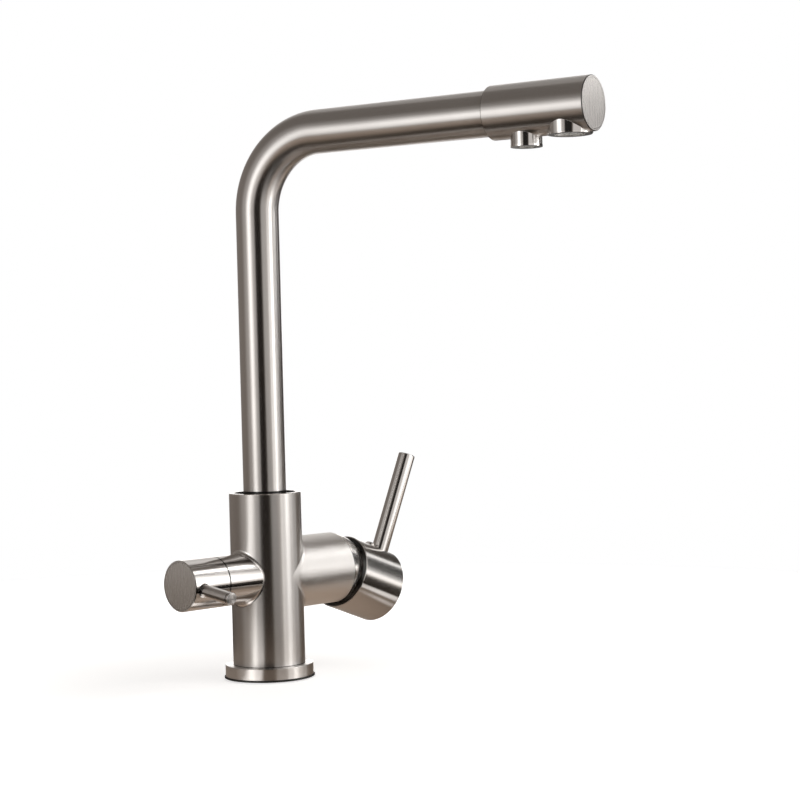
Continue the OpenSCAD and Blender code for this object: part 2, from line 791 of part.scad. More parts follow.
module filter_nozzle_core() {
    color(plastic) at_outlet(filter_outlet_x) flow_core(filter_bore_r, filter_drop, filter_core_rows);
}

module filter_nozzle_washer() {
    color(rubber) at_outlet(filter_outlet_x) outlet_washer(filter_bore_r, filter_seat_drop);
}

// Mixer cartridge

module cartridge_base() {
    color(plastic) mixer_side(base_x) difference() {
        cylinder(r = cartridge_r, h = cartridge_base_h);
        cartridge_ports() translate([0, 0, -cut]) cylinder(r = water_r, h = cartridge_base_h + 2 * cut);
    }
}

module cartridge_seals() {
    color(rubber) mixer_side(chamber_x) cartridge_ports() ring(water_r + foot_seal_w, water_r, foot_seal_h);
}

module cartridge_shell() {
    color(plastic) mixer_side(shell_x) difference() {
        union() {
            cylinder(r = cartridge_r, h = shell_len);
            cylinder(r = neck_r, h = shell_len + neck_len);
        }
        translate([0, 0, -cut]) cylinder(r = shell_bore_r, h = cap_plate_x - shell_x + cut);
        cylinder(r = neck_bore_r, h = shell_len + neck_len + cut);
    }
}

module cartridge_fixed_disc() {
    color(ceramic) mixer_side(shell_x) difference() {
        cylinder(r = shell_bore_r - seat, h = fixed_disc_h);
        cartridge_ports() translate([0, 0, -cut]) cylinder(r = water_r, h = fixed_disc_h + 2 * cut);
    }
}

// The moving disc and its guide ride on the stem's ball, which stands off the axis when the lever is lifted
module riding_side(x) {
    turned_side(x) translate([-ball_arm * sin(lift_rest), 0, 0]) children();
}

module cartridge_moving_disc() {
    color(ceramic) riding_side(moving_disc_x) cylinder(r = moving_disc_r, h = moving_disc_h);
}

module cartridge_disc_guide() {
    color(plastic) riding_side(guide_x) ring(moving_disc_r, ball_r + loose, guide_h);
}

module cartridge_carrier() {
    color(plastic) difference() {
        union() {
            turned_side(carrier_x) cylinder(r = carrier_flange_r, h = carrier_flange_end - carrier_x);
            turned_side(carrier_x) cylinder(r = carrier_r, h = carrier_end - carrier_x);
        }
        turned_side(carrier_x - cut) translate([-slot_half, -slot_w / 2, 0])
            cube([2 * slot_half, slot_w, carrier_end - carrier_x + 2 * cut]);
        turned_side(pivot_x) rotate([90, 0, 0])
            cylinder(r = pivot_pin_r + seat, h = 2 * carrier_r + 2 * cut, center = true);
    }
}

module cartridge_pin() {
    color(steel) turned_side(pivot_x) rotate([90, 0, 0])
        cylinder(r = pivot_pin_r, h = 2 * (carrier_r - loose), center = true);
}

module cartridge_stem() {
    color(steel) lever_frame() difference() {
        union() {
            translate([-stem_foot, -stem_w / 2, -stem_w / 2]) cube([stem_foot + stem_len, stem_w, stem_w]);
            translate([-ball_arm, 0, 0]) rotate([0, 90, 0]) cylinder(r = ball_neck_r, h = ball_arm);
            translate([-ball_arm, 0, 0]) sphere(r = ball_r);
        }
        rotate([90, 0, 0]) cylinder(r = pivot_pin_r + running, h = stem_w + 2 * cut, center = true);
    }
}

module cartridge_nut() {
    color(brass) mixer_side(shoulder_x) ring(cartridge_thread_r - seat, neck_r + seat, cartridge_nut_h);
}

// Mixer lever

// A dome about the pivot with a skirt that screws into the housing
module bonnet_ring() {
    skirt_x = shoulder_x + cartridge_nut_h + slide_gap;
    color(bright) mixer_side() difference() {
        union() {
            intersection() {
                translate([0, 0, pivot_x]) sphere(r = bonnet_r);
                translate([0, 0, housing_end]) cylinder(r = housing_r, h = bonnet_reach - pivot_inset);
            }
            translate([0, 0, skirt_x])
                cylinder(r = cartridge_thread_r - seat, h = housing_end - skirt_x + cut);
        }
        translate([0, 0, skirt_x - cut])
            cylinder(r = neck_r + seat, h = pivot_x + bonnet_r - skirt_x + cut);
    }
}

module mixer_hub() {
    color(nickel) lever_frame() difference() {
        translate([hub_start, 0, 0]) rotate([0, 90, 0]) chamfered(hub_r, hub_len, edge_chamfer);
        translate([hub_start - cut, 0, 0]) rotate([0, 90, 0]) cylinder(r = hub_in_r, h = hub_hollow + cut);
        translate([hollow_end - cut, -stem_w / 2 - seat, -stem_w / 2 - seat])
            cube([stem_len - hollow_end + cut + seat, stem_w + 2 * seat, stem_w + 2 * seat]);
        translate([rod_s, 0, rod_foot]) cylinder(r = rod_r + seat, h = rod_seat + cut);
        translate([rod_s, 0, rod_foot - stud_len - seat]) cylinder(r = stud_r + seat, h = stud_len + cut);
        translate([grub_s, 0, 0]) cylinder(r = grub_r + seat, h = hub_r + cut);
        translate([grub_s, 0, plug_foot]) cylinder(r = plug_r + seat, h = plug_seat + cut);
    }
}

module mixer_lever_rod() {
    color(nickel) lever_frame() translate([rod_s, 0, 0]) {
        translate([0, 0, rod_foot]) chamfered(rod_r, rod_tip - rod_foot, edge_chamfer);
        translate([0, 0, rod_foot - stud_len]) cylinder(r = stud_r, h = stud_len + cut);
    }
}

module hub_set_screw() {
    color(steel) lever_frame() translate([grub_s, 0, stem_w / 2 + seat]) difference() {
        cylinder(r = grub_r, h = grub_len);
        translate([0, 0, grub_len / 2]) cylinder(d = screw_recess_w, h = grub_len, $fn = 6);
    }
}

module hub_index_plug() {
    color(nickel) lever_frame() translate([grub_s, 0, plug_foot]) {
        chamfered(plug_r, plug_button_h, plug_chamfer);
        translate([0, 0, -plug_stem_len]) cylinder(r = grub_r, h = plug_stem_len + plug_seat);
    }
}

// Filter valve

module filter_valve_shell() {
    color(brass) filter_side() difference() {
        union() {
            translate([0, 0, seal_top]) cylinder(r = nose_r, h = stub_end - seal_top);
            translate([0, 0, valve_shoulder]) cylinder(r = valve_thread_r - seat, h = valve_thread_len);
            translate([0, 0, stub_end]) cylinder(r = valve_flange_r, h = valve_flange_h, $fn = 6);
            translate([0, 0, stub_end])
                cylinder(r = spindle_r + valve_guide_wall, h = guide_top - stub_end);
        }
        translate([0, 0, seal_top - cut])
            cylinder(r = disc_bore_r, h = driver_top + slide_gap - seal_top + cut);
        translate([0, 0, seal_top]) cylinder(r = spindle_r + running, h = guide_top - seal_top + cut);
        translate([0, 0, driver_d + driver_h / 2]) rotate([90, 0, 0])
            cylinder(r = valve_port_r, h = 2 * (nose_r + cut), center = true);
    }
}

module filter_valve_seal() {
    color(rubber) filter_side(valve_floor) ring(nose_r, disc_bore_r - nose_wall, valve_seal_h);
}

module valve_ports() {
    for (side = [-1, 1])
        translate([side * disc_bore_r / 2, 0, -cut])
            cylinder(r = valve_port_r, h = valve_disc_h + 2 * cut);
}

module filter_valve_fixed_disc() {
    color(ceramic) filter_side(seal_top) difference() {
        cylinder(r = valve_disc_r, h = valve_disc_h);
        valve_ports();
    }
}

module filter_valve_moving_disc() {
    color(ceramic) filter_side(turning_disc_d) difference() {
        cylinder(r = valve_disc_r, h = valve_disc_h);
        valve_ports();
        translate([-disc_bore_r, -tab_w / 2 - seat, valve_disc_h - tab_h])
            cube([2 * disc_bore_r, tab_w + 2 * seat, tab_h + cut]);
    }
}

module filter_valve_spindle() {
    color(brass) filter_side() difference() {
        union() {
            translate([0, 0, driver_d]) cylinder(r = valve_disc_r, h = driver_h);
            translate([-tab_len / 2, -tab_w / 2, driver_d - tab_h]) cube([tab_len, tab_w, tab_h + cut]);
            translate([0, 0, driver_d]) cylinder(r = spindle_r, h = knob_web - driver_d);
            translate([-spindle_square / 2, -spindle_square / 2, driver_d])
                cube([spindle_square, spindle_square, spindle_top - driver_d]);
        }
        translate([0, 0, screw_seat_d - screw_len - cut])
            cylinder(r = knob_screw_r + seat, h = screw_len + cut);
    }
}

// Filter knob

module filter_knob() {
    square_w = spindle_square + 2 * seat;
    color(nickel) difference() {
        filter_side(knob_start) difference() {
            chamfered(stub_r, knob_len, edge_chamfer);
            translate([0, 0, -cut]) cylinder(r = knob_in_r, h = knob_web - knob_start + cut);
        }
        filter_side(knob_web - cut) translate([-square_w / 2, -square_w / 2, 0])
            cube([square_w, square_w, square_len + cut + slide_gap]);
        filter_side(knob_web) cylinder(r = knob_screw_r + seat, h = knob_len);
        filter_side(screw_seat_d) cylinder(r = screw_head_r + seat, h = knob_len);
        filter_side(knob_cap_d) cylinder(r = knob_cap_r + seat, h = knob_cap_h + cut);
        pin_lever_frame() {
            translate([0, 0, lever_start]) cylinder(r = lever_r + seat, h = stub_r);
            translate([0, 0, stub_r - lever_joint_h]) cylinder(r = lever_r + lever_joint, h = stub_r);
        }
    }
}

module filter_knob_cap() {
    color(nickel) filter_side(knob_cap_d) cylinder(r = knob_cap_r, h = knob_cap_h);
}

module filter_knob_screw() {
    color(steel) filter_side(screw_seat_d) difference() {
        union() {
            cylinder(r = screw_head_r, h = screw_head_h);
            translate([0, 0, -screw_len]) cylinder(r = knob_screw_r, h = screw_len + cut);
        }
        translate([0, 0, screw_head_h / 2]) cylinder(d = screw_recess_w, h = screw_head_h, $fn = 6);
    }
}

module filter_knob_lever() {
    groove_z = lever_end - lever_tip - lever_groove;
    color(nickel) pin_lever_frame() difference() {
        translate([0, 0, lever_start]) chamfered(lever_r, lever_end - lever_start, lever_chamfer);
        translate([0, 0, groove_z]) ring(lever_r + cut, lever_r - lever_groove, lever_groove);
    }
}

base_gasket();
base_flange();
tap_body();
spout_nut();
spout_base();
spout_o_rings();
spout_tube();
filter_feed_pipe();
filter_hose();
filter_elbow();
spout_head();
spout_end_cap();
main_aerator_ring();
main_aerator_core();
main_aerator_washer();
filter_nozzle_ring();
filter_nozzle_core();
filter_nozzle_washer();
cartridge_base();
cartridge_seals();
cartridge_shell();
cartridge_fixed_disc();
cartridge_moving_disc();
cartridge_disc_guide();
cartridge_carrier();
cartridge_pin();
cartridge_stem();
cartridge_nut();
bonnet_ring();
mixer_hub();
mixer_lever_rod();
hub_set_screw();
hub_index_plug();
filter_valve_shell();
filter_valve_seal();
filter_valve_fixed_disc();
filter_valve_moving_disc();
filter_valve_spindle();
filter_knob();
filter_knob_cap();
filter_knob_screw();
filter_knob_lever();
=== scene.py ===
# Kitchen tap with a swivelling spout, a mixer lever and a filtered-water knob, in brushed nickel.
# Sizes of its pieces are in millimetres, and those of the camera and the studio are in metres.
import math

import bmesh
import bpy
from mathutils import Matrix, Vector


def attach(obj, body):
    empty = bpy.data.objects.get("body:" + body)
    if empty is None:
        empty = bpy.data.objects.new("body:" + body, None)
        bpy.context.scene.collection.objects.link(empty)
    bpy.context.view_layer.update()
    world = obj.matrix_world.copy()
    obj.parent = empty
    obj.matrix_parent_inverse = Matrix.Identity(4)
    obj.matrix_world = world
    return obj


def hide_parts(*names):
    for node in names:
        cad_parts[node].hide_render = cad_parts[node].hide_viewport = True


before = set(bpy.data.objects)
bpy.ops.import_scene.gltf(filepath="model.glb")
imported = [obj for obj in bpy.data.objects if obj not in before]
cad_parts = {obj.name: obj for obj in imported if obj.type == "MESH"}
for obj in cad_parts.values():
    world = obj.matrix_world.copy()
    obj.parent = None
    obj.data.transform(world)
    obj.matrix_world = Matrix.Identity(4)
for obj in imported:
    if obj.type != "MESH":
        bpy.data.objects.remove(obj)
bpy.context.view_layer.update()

# Camera
# It stands low in front of the filter knob and looks along the worktop through a long lens.
# It is rolled a little about its own line of sight.
turn, tilt, roll = (math.radians(a) for a in (-45.779, 0.913, -1.509))
stand_off, aim_right, aim_height = 1.10683, 0.080129, 0.15887
to_camera = Vector((math.sin(turn) * math.cos(tilt), -math.cos(turn) * math.cos(tilt), math.sin(tilt)))
level_right = Vector((math.cos(turn), math.sin(turn), 0))
level_up = to_camera.cross(level_right)
view_right = math.cos(roll) * level_right + math.sin(roll) * level_up
view_up = math.cos(roll) * level_up - math.sin(roll) * level_right
lens = bpy.data.cameras.new("camera")
lens.sensor_width = 36
lens.lens = 85.514
lens.clip_start, lens.clip_end = 0.01, 50
camera = bpy.data.objects.new("camera", lens)
camera.matrix_world = Matrix((view_right, view_up, to_camera)).transposed().to_4x4()
camera.matrix_world.translation = (
    level_right * aim_right + Vector((0, 0, aim_height)) + to_camera * stand_off
)
bpy.context.scene.collection.objects.link(camera)
bpy.context.scene.camera = camera

# Base gasket
# A moulded ring of black rubber, pressed flat under the flange when the tap is bolted down.
# It seals the tap hole and shows as a thin black line round the foot.
MM, ROUND_STEP = 0.001, math.radians(18)


def rounded(profile, closed):
    """Profile points (radius, height, rounding), anticlockwise, as points with their outward normals."""
    points = []
    count = len(profile)
    for i, (r, h, q) in enumerate(profile):
        here = Vector((r, h))
        before = Vector(profile[i - 1][:2]) if closed or i else None
        after = Vector(profile[(i + 1) % count][:2]) if closed or i < count - 1 else None
        if before is None or after is None:
            run = (after - here if before is None else here - before).normalized()
            points.append((here, Vector((run.y, -run.x))))
            continue
        a, b = (here - before).normalized(), (after - here).normalized()
        bend = math.atan2(a.x * b.y - a.y * b.x, a.dot(b))
        steps = max(2, math.ceil(abs(bend) / ROUND_STEP))
        reach = q * math.tan(abs(bend) / 2)
        side = math.copysign(1, bend)
        centre = here - a * reach + side * q * Vector((-a.y, a.x))
        for k in range(steps + 1):
            angle = bend * k / steps
            d = Vector((
                a.x * math.cos(angle) - a.y * math.sin(angle),
                a.x * math.sin(angle) + a.y * math.cos(angle),
            ))
            normal = Vector((d.y, -d.x))
            points.append((centre + side * q * normal, normal))
    return points


def turned_mesh(name, profile, closed=False, steps=96):
    """A mesh turned round its own Z axis from a profile in millimetres."""
    points = rounded(profile, closed)
    verts, normals, rows = [], [], []
    for p, n in points:
        row = []
        on_axis = p.x < 1e-6
        for j in range(1 if on_axis else steps):
            c, s = math.cos(2 * math.pi * j / steps), math.sin(2 * math.pi * j / steps)
            row.append(len(verts))
            verts.append((p.x * c * MM, p.x * s * MM, p.y * MM))
            normals.append((n.x * c, n.x * s, n.y))
        rows.append(row)
    faces = []
    pairs = list(zip(rows, rows[1:])) + ([(rows[-1], rows[0])] if closed else [])
    for low, high in pairs:
        for j in range(steps):
            k = (j + 1) % steps
            loop = [low[j % len(low)], low[k % len(low)], high[k % len(high)], high[j % len(high)]]
            faces.append([v for i, v in enumerate(loop) if v not in loop[:i]])
    mesh = bpy.data.meshes.new(name)
    mesh.from_pydata(verts, [], faces)
    mesh.shade_smooth()
    mesh.normals_split_custom_set_from_vertices(normals)
    return mesh


def fit(name, mesh, material, body, place=None, stands_for=()):
    """Puts a piece on its body and in its material slot, instead of the CAD nodes that it stands for."""
    piece = bpy.data.objects.new(name, mesh)
    piece.matrix_world = place or Matrix.Identity(4)
    bpy.context.scene.collection.objects.link(piece)
    mesh.materials.append(material)
    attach(piece, body)
    if stands_for:
        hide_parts(*stands_for)
    return piece


def new_material(name):
    made = bpy.data.materials.new(name)
    made.use_nodes = True
    return made, made.node_tree, made.node_tree.nodes["Principled BSDF"].inputs


def add_node(tree, kind, inputs=None, **settings):
    """A node with its settings, and with a socket or a plain value on each named input."""
    node = tree.nodes.new(kind)
    for key, value in settings.items():
        setattr(node, key, value)
    for key, value in (inputs or {}).items():
        if isinstance(value, bpy.types.NodeSocket):
            tree.links.new(value, node.inputs[key])
        else:
            node.inputs[key].default_value = value
    return node


def spread(tree, value, low, high, from_low=0.3, from_high=0.7, smooth="LINEAR"):
    """The value stretched from one range, by default the middle of a noise, to another."""
    ends = {"From Min": from_low, "From Max": from_high, "To Min": low, "To Max": high}
    node = add_node(tree, "ShaderNodeMapRange", {"Value": value, **ends}, interpolation_type=smooth)
    return node.outputs["Result"]


def blend_colour(tree, share, first, second):
    """One colour into another, where a colour is three numbers or the socket that brings it."""
    first, second = (c if isinstance(c, bpy.types.NodeSocket) else (*c, 1) for c in (first, second))
    inputs = {"Factor": share, "A": first, "B": second}
    return add_node(tree, "ShaderNodeMix", inputs, data_type="RGBA").outputs["Result"]


def object_place(tree):
    return add_node(tree, "ShaderNodeTexCoord").outputs["Object"]


def new_group(name, inputs, outputs):
    tree = bpy.data.node_groups.new(name, "ShaderNodeTree")
    for direction, sockets in (("INPUT", inputs), ("OUTPUT", outputs)):
        for label, kind in sockets.items():
            tree.interface.new_socket(label, in_out=direction, socket_type="NodeSocket" + kind)
    return tree, tree.nodes.new("NodeGroupInput").outputs, tree.nodes.new("NodeGroupOutput").inputs


def use_group(tree, group, inputs):
    return add_node(tree, "ShaderNodeGroup", inputs, node_tree=group)


mottle, given, put_out = new_group(
    "mottle", {"Place": "Vector", "Size": "Float", "Low": "Float", "High": "Float"}, {"Value": "Float"}
)
cloud = add_node(
    mottle, "ShaderNodeTexNoise", {"Vector": given["Place"], "Scale": given["Size"], "Detail": 3.0}
).outputs["Fac"]
mottle.links.new(spread(mottle, cloud, given["Low"], given["High"]), put_out["Value"])


def mottled(tree, size, low, high):
    inputs = {"Place": object_place(tree), "Size": size, "Low": low, "High": high}
    return use_group(tree, mottle, inputs).outputs["Value"]


TONE_PATCHES, GLOSS_PATCHES, GRAIN_STRENGTH = 90, 60, 0.3


def moulded(name, dark, light, rough, grain, depth):
    """A moulded surface: patches of tone and gloss over a fine grain, whose depth is in metres."""
    made, tree, shader = new_material(name)
    tone = blend_colour(tree, mottled(tree, TONE_PATCHES, 0, 1), dark, light)
    tree.links.new(tone, shader["Base Color"])
    tree.links.new(mottled(tree, GLOSS_PATCHES, *rough), shader["Roughness"])
    relief = {"Height": mottled(tree, grain, 0, 1), "Strength": GRAIN_STRENGTH, "Distance": depth}
    tree.links.new(add_node(tree, "ShaderNodeBump", relief).outputs["Normal"], shader["Normal"])
    return made


SOOT, FADED_SOOT = (0.008, 0.008, 0.008), (0.018, 0.017, 0.016)
black_rubber = moulded("black_rubber", SOOT, FADED_SOOT, (0.45, 0.65), grain=2500, depth=0.00003)
GASKET_R, GASKET_H, SPIGOT_HOLE_R, RING_STEPS = 26.35, 1, 18.05, 128
gasket = turned_mesh(
    "base_gasket_ring",
    [
        (SPIGOT_HOLE_R, 0, 0.1),
        (GASKET_R, 0, 0.3),
        (GASKET_R, GASKET_H, 0.35),
        (SPIGOT_HOLE_R, GASKET_H, 0.1),
    ],
    closed=True,
    steps=RING_STEPS,
)
fit("base_gasket_ring", gasket, black_rubber, "base", stands_for=["base_gasket"])

# Base flange
# A cover ring turned from brass, which hides the tap hole and is held down by the foot of the column.
# It is nickel plated and brushed round its axis.


def math_node(tree, operation, *values):
    return add_node(tree, "ShaderNodeMath", dict(enumerate(values)), operation=operation).outputs[0]


def vector_node(tree, operation, *values):
    node = add_node(tree, "ShaderNodeVectorMath", dict(enumerate(values)), operation=operation)
    return node.outputs["Value" if operation in ("DOT_PRODUCT", "LENGTH") else "Vector"]


LEAN = 0.7
brushing, given, put_out = new_group(
    "brushing",
    {
        "Along": "Float",
        "Place": "Vector",
        "Fine": "Float",
        "Long": "Float",
        "Dark": "Color",
        "Light": "Color",
        "Smooth": "Float",
        "Rough": "Float",
    },
    {"Lines": "Float", "Tone": "Color", "Roughness": "Float"},
)
axes = add_node(brushing, "ShaderNodeSeparateXYZ", {"Vector": given["Place"]}).outputs
across = math_node(brushing, "MULTIPLY", given["Along"], given["Fine"])
leaning = [math_node(brushing, "MULTIPLY_ADD", axes["Z"], LEAN, axes[k]) for k in ("X", "Y")]
slow = [math_node(brushing, "MULTIPLY", place, given["Long"]) for place in leaning]
stretched = add_node(brushing, "ShaderNodeCombineXYZ", {"X": across, "Y": slow[0], "Z": slow[1]})
lines = add_node(
    brushing,
    "ShaderNodeTexNoise",
    {"Vector": stretched.outputs["Vector"], "Scale": 1.0, "Detail": 4.0, "Roughness": 0.6},
).outputs["Fac"]
brushing.links.new(lines, put_out["Lines"])
brushing.links.new(blend_colour(brushing, lines, given["Dark"], given["Light"]), put_out["Tone"])
brushing.links.new(spread(brushing, lines, given["Smooth"], given["Rough"]), put_out["Roughness"])

NICKEL_DARK, NICKEL_LIGHT = (0.64, 0.622, 0.607), (0.70, 0.682, 0.667)
BRUSHED, BRUSH_FINE, BRUSH_LONG, DRAWN = (0.28, 0.31), 5000.0, 30.0, 0.97
UNEVEN, UNEVEN_PATCHES = (-0.005, 0.015), 45
RELIEF, RELIEF_DEPTH = 0.4, 0.0000007
INWARD = (-0.5, -0.5, -0.5)


def along(tree, axis):
    """Distance along the axis that a piece was turned on while it was brushed."""
    return vector_node(tree, "DOT_PRODUCT", object_place(tree), axis)


def outward(tree, axis, centre):
    """The way out to each point from the axis that a piece was turned on."""
    away = vector_node(tree, "SUBTRACT", object_place(tree), centre)
    reach = vector_node(tree, "MULTIPLY", axis, vector_node(tree, "DOT_PRODUCT", away, axis))
    return vector_node(tree, "SUBTRACT", away, reach)


def across_lines(tree, axis, centre=(0, 0, 0)):
    """The direction over the surface that crosses the brush lines, on flat ends as on the sides."""
    radial = vector_node(tree, "NORMALIZE", outward(tree, axis, centre))
    return vector_node(tree, "MULTIPLY_ADD", radial, INWARD, axis)


def brushed(tree, distance, rough=BRUSHED, fine=BRUSH_FINE, dark=NICKEL_DARK, light=NICKEL_LIGHT):
    """Brush lines that cross a distance, with the tone and the roughness that follow them."""
    inputs = {"Along": distance, "Place": object_place(tree), "Fine": fine, "Long": BRUSH_LONG}
    finish = {"Dark": (*dark, 1), "Light": (*light, 1), "Smooth": rough[0], "Rough": rough[1]}
    return use_group(tree, brushing, {**inputs, **finish}).outputs


def uneven(tree, rough, change=UNEVEN):
    """The same roughness with the soft patches that brushing by hand leaves."""
    return math_node(tree, "ADD", rough, mottled(tree, UNEVEN_PATCHES, *change))


def plate(tree, shader, strokes, crossing, rough=None, height=None, drawn=DRAWN):
    """Nickel plating over brushed metal: colour, roughness and fine relief follow the brush strokes."""
    tree.links.new(strokes["Tone"], shader["Base Color"])
    tree.links.new(rough or strokes["Roughness"], shader["Roughness"])
    shader["Metallic"].default_value = 1
    shader["Anisotropic"].default_value = drawn
    relief = {"Height": height or strokes["Lines"], "Strength": RELIEF, "Distance": RELIEF_DEPTH}
    tree.links.new(add_node(tree, "ShaderNodeBump", relief).outputs["Normal"], shader["Normal"])
    turned = add_node(
        tree,
        "ShaderNodeVectorTransform",
        {"Vector": crossing},
        vector_type="VECTOR",
        convert_from="OBJECT",
        convert_to="WORLD",
    )
    tree.links.new(turned.outputs["Vector"], shader["Tangent"])


def brushed_nickel(name, axis, rough=BRUSHED, centre=(0, 0, 0), drawn=DRAWN):
    made, tree, shader = new_material(name)
    strokes = brushed(tree, along(tree, axis), rough)
    patchy = uneven(tree, strokes["Roughness"])
    plate(tree, shader, strokes, across_lines(tree, axis, centre), patchy, drawn=drawn)
    return made


turned_nickel = brushed_nickel("turned_nickel", (0, 0, 1))
FLANGE_R, FLANGE_TOP = 25.65, 7.7
flange = turned_mesh(
    "base_flange_ring",
    [
        (SPIGOT_HOLE_R, GASKET_H, 0.1),
        (FLANGE_R, GASKET_H, 0.25),
        (FLANGE_R, FLANGE_TOP, 0.45),
        (SPIGOT_HOLE_R, FLANGE_TOP, 0.1),
    ],
    closed=True,
    steps=RING_STEPS,
)
fit("base_flange_ring", flange, turned_nickel, "base", stands_for=["base_flange"])

# Tap body
# One plated brass casting: the column, the mixer housing on its right and the filter stub on its left.
# The column is brushed round, the housing is left satin, and the stub is polished like the knob.
BODY_R, BRANCH_Z, STUB_R, STUB_DARK = 21, 58.7, 14.45, 39.8
BRANCH_START = (0, 0, BRANCH_Z * MM)
HOUSING_ROUGH, STUB_ROUGH, RIM_ROUGH = 0.05, -0.185, -0.17
PASSAGE, BRANCH_CALM, GRAIN, GRAIN_DEPTH = 2.0, 0.9, 5000, 150.0
RIM_Z, RIM_EDGE, RECESS_R, RECESS_Z, FOOT_LINE = 107.3, 0.55, 18.2, 92.7, 0.3
HOUSING_END, END_LINE = 52.1, 0.45
SATIN = (0.93, 0.91, 0.89)
CLEAR = 0.05


def dress(material, *names):
    """Gives CAD nodes their finish."""
    for name in names:
        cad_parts[name].data.materials.clear()
        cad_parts[name].data.materials.append(material)


def past(tree, value, limit):
    """A mask of one where a distance is over a limit in millimetres."""
    return math_node(tree, "GREATER_THAN", value, limit * MM)


def short_of(tree, value, limit):
    """A mask of one where a distance is under a limit in millimetres."""
    return math_node(tree, "LESS_THAN", value, limit * MM)


def any_of(tree, mask, *others):
    for other in others:
        mask = math_node(tree, "MAXIMUM", mask, other)
    return mask


def off_axis(tree, axis, centre=(0, 0, 0)):
    """Distance from the axis that a piece was turned on."""
    return vector_node(tree, "LENGTH", outward(tree, axis, centre))


def blend_direction(tree, share, first, second):
    inputs = {"Factor": share, "A": first, "B": second}
    return add_node(tree, "ShaderNodeMix", inputs, data_type="VECTOR").outputs["Result"]


def tint(tree, shader, mask, colour):
    """Gives the masked part another colour."""
    before = shader["Base Color"].links[0].from_socket
    tree.links.new(blend_colour(tree, mask, before, colour), shader["Base Color"])


# Painted shade: a dull dark colour that stands in for the shade in joints, grooves and recesses.
JOINT_SHADE = (0.012, 0.011, 0.01)
joint_shade, given, put_out = new_group(
    "joint_shade", {"Mask": "Float", "Plating": "Color"}, {"Colour": "Color", "Metal": "Float"}
)
shaded = blend_colour(joint_shade, given["Mask"], given["Plating"], JOINT_SHADE)
joint_shade.links.new(shaded, put_out["Colour"])
joint_shade.links.new(math_node(joint_shade, "SUBTRACT", 1.0, given["Mask"]), put_out["Metal"])


def darken(tree, shader, mask):
    """Painted shade in a joint line, groove or recess: the plating turns to a dull dark film where the
    mask is one.
    """
    plating = shader["Base Color"].links[0].from_socket
    shaded_joint = use_group(tree, joint_shade, {"Mask": mask, "Plating": plating}).outputs
    tree.links.new(shaded_joint["Colour"], shader["Base Color"])
    tree.links.new(shaded_joint["Metal"], shader["Metallic"])


body_nickel, tree, shader = new_material("body_nickel")
axes = add_node(tree, "ShaderNodeSeparateXYZ", {"Vector": object_place(tree)}).outputs
radius = off_axis(tree, (0, 0, 1))
passage = spread(tree, radius, 0.0, 1.0, (BODY_R + CLEAR) * MM, (BODY_R + PASSAGE) * MM, "SMOOTHSTEP")
housing = math_node(tree, "MULTIPLY", passage, past(tree, axes["X"], 0))
stub = math_node(tree, "MULTIPLY", past(tree, radius, BODY_R + CLEAR), short_of(tree, axes["X"], 0))
branch = math_node(tree, "ADD", housing, stub)
sideways = math_node(tree, "SUBTRACT", axes["X"], axes["Z"])
strokes = brushed(tree, math_node(tree, "MULTIPLY_ADD", branch, sideways, axes["Z"]))
rim = past(tree, axes["Z"], RIM_Z - RIM_EDGE)
rough = uneven(tree, strokes["Roughness"])
for part, change in ((housing, HOUSING_ROUGH), (stub, STUB_ROUGH), (rim, RIM_ROUGH)):
    rough = math_node(tree, "MULTIPLY_ADD", part, change, rough)
crossing = blend_direction(
    tree, branch, across_lines(tree, (0, 0, 1)), across_lines(tree, (1, 0, 0), BRANCH_START)
)
calm = math_node(tree, "MULTIPLY_ADD", branch, -BRANCH_CALM, 1.0)
quiet = math_node(tree, "MULTIPLY", strokes["Lines"], calm)
height = math_node(tree, "MULTIPLY_ADD", housing, mottled(tree, GRAIN, 0, GRAIN_DEPTH), quiet)
plate(tree, shader, strokes, crossing, rough, height)
tint(tree, shader, any_of(tree, housing, rim), SATIN)
# Painted shade: the recess at the top, the stub's end at the seam, a line at the foot and a line at the
# housing's end.
in_recess = short_of(tree, radius, RECESS_R + CLEAR)
recess = math_node(tree, "MULTIPLY", in_recess, past(tree, axes["Z"], RECESS_Z - CLEAR))
stub_end = short_of(tree, axes["X"], -STUB_DARK)
foot = short_of(tree, axes["Z"], FLANGE_TOP + FOOT_LINE)
housing_end = past(tree, axes["X"], HOUSING_END - END_LINE)
darken(tree, shader, any_of(tree, recess, stub_end, foot, housing_end))
dress(body_nickel, "tap_body")

CREASE = math.radians(35)


def fillet_mesh(name, branch_r, radius, side, steps=120, arc=6, sunk=0.04):
    """The cast fillet round the root of a side branch, rolled by a ball between branch and column."""
    verts, faces = [], []
    row = arc + 2
    for j in range(steps):
        phi = 2 * math.pi * j / steps
        round_y, round_z = math.cos(phi), math.sin(phi)
        cy, cz = (branch_r + radius) * round_y, (branch_r + radius) * round_z
        cx = math.sqrt(max((BODY_R + radius) ** 2 - cy * cy, 1e-6))
        centre = Vector((cx, cy, cz))
        to_branch = Vector((0, -round_y, -round_z))
        to_column = Vector((-cx, -cy, 0)) / (BODY_R + radius)
        corner_x = math.sqrt(max(BODY_R ** 2 - (branch_r * round_y) ** 2, 1e-6))
        corner = Vector((corner_x, branch_r * round_y, branch_r * round_z))
        points = [corner + (to_branch + to_column).normalized() * 4 * sunk]
        for k in range(arc + 1):
            points.append(centre + to_branch.slerp(to_column, k / arc) * (radius + sunk))
        verts += [(side * p.x * MM, p.y * MM, (p.z + BRANCH_Z) * MM) for p in points]
    for j in range(steps):
        for k in range(row):
            a, b = j * row + k, j * row + (k + 1) % row
            c, d = (j + 1) % steps * row + (k + 1) % row, (j + 1) % steps * row + k
            faces.append([a, b, c, d] if side > 0 else [d, c, b, a])
    mesh = bpy.data.meshes.new(name)
    mesh.from_pydata(verts, [], faces)
    mesh.shade_smooth()
    mesh.set_sharp_from_angle(angle=CREASE)
    return mesh


SATIN_DRAWN = 0.2


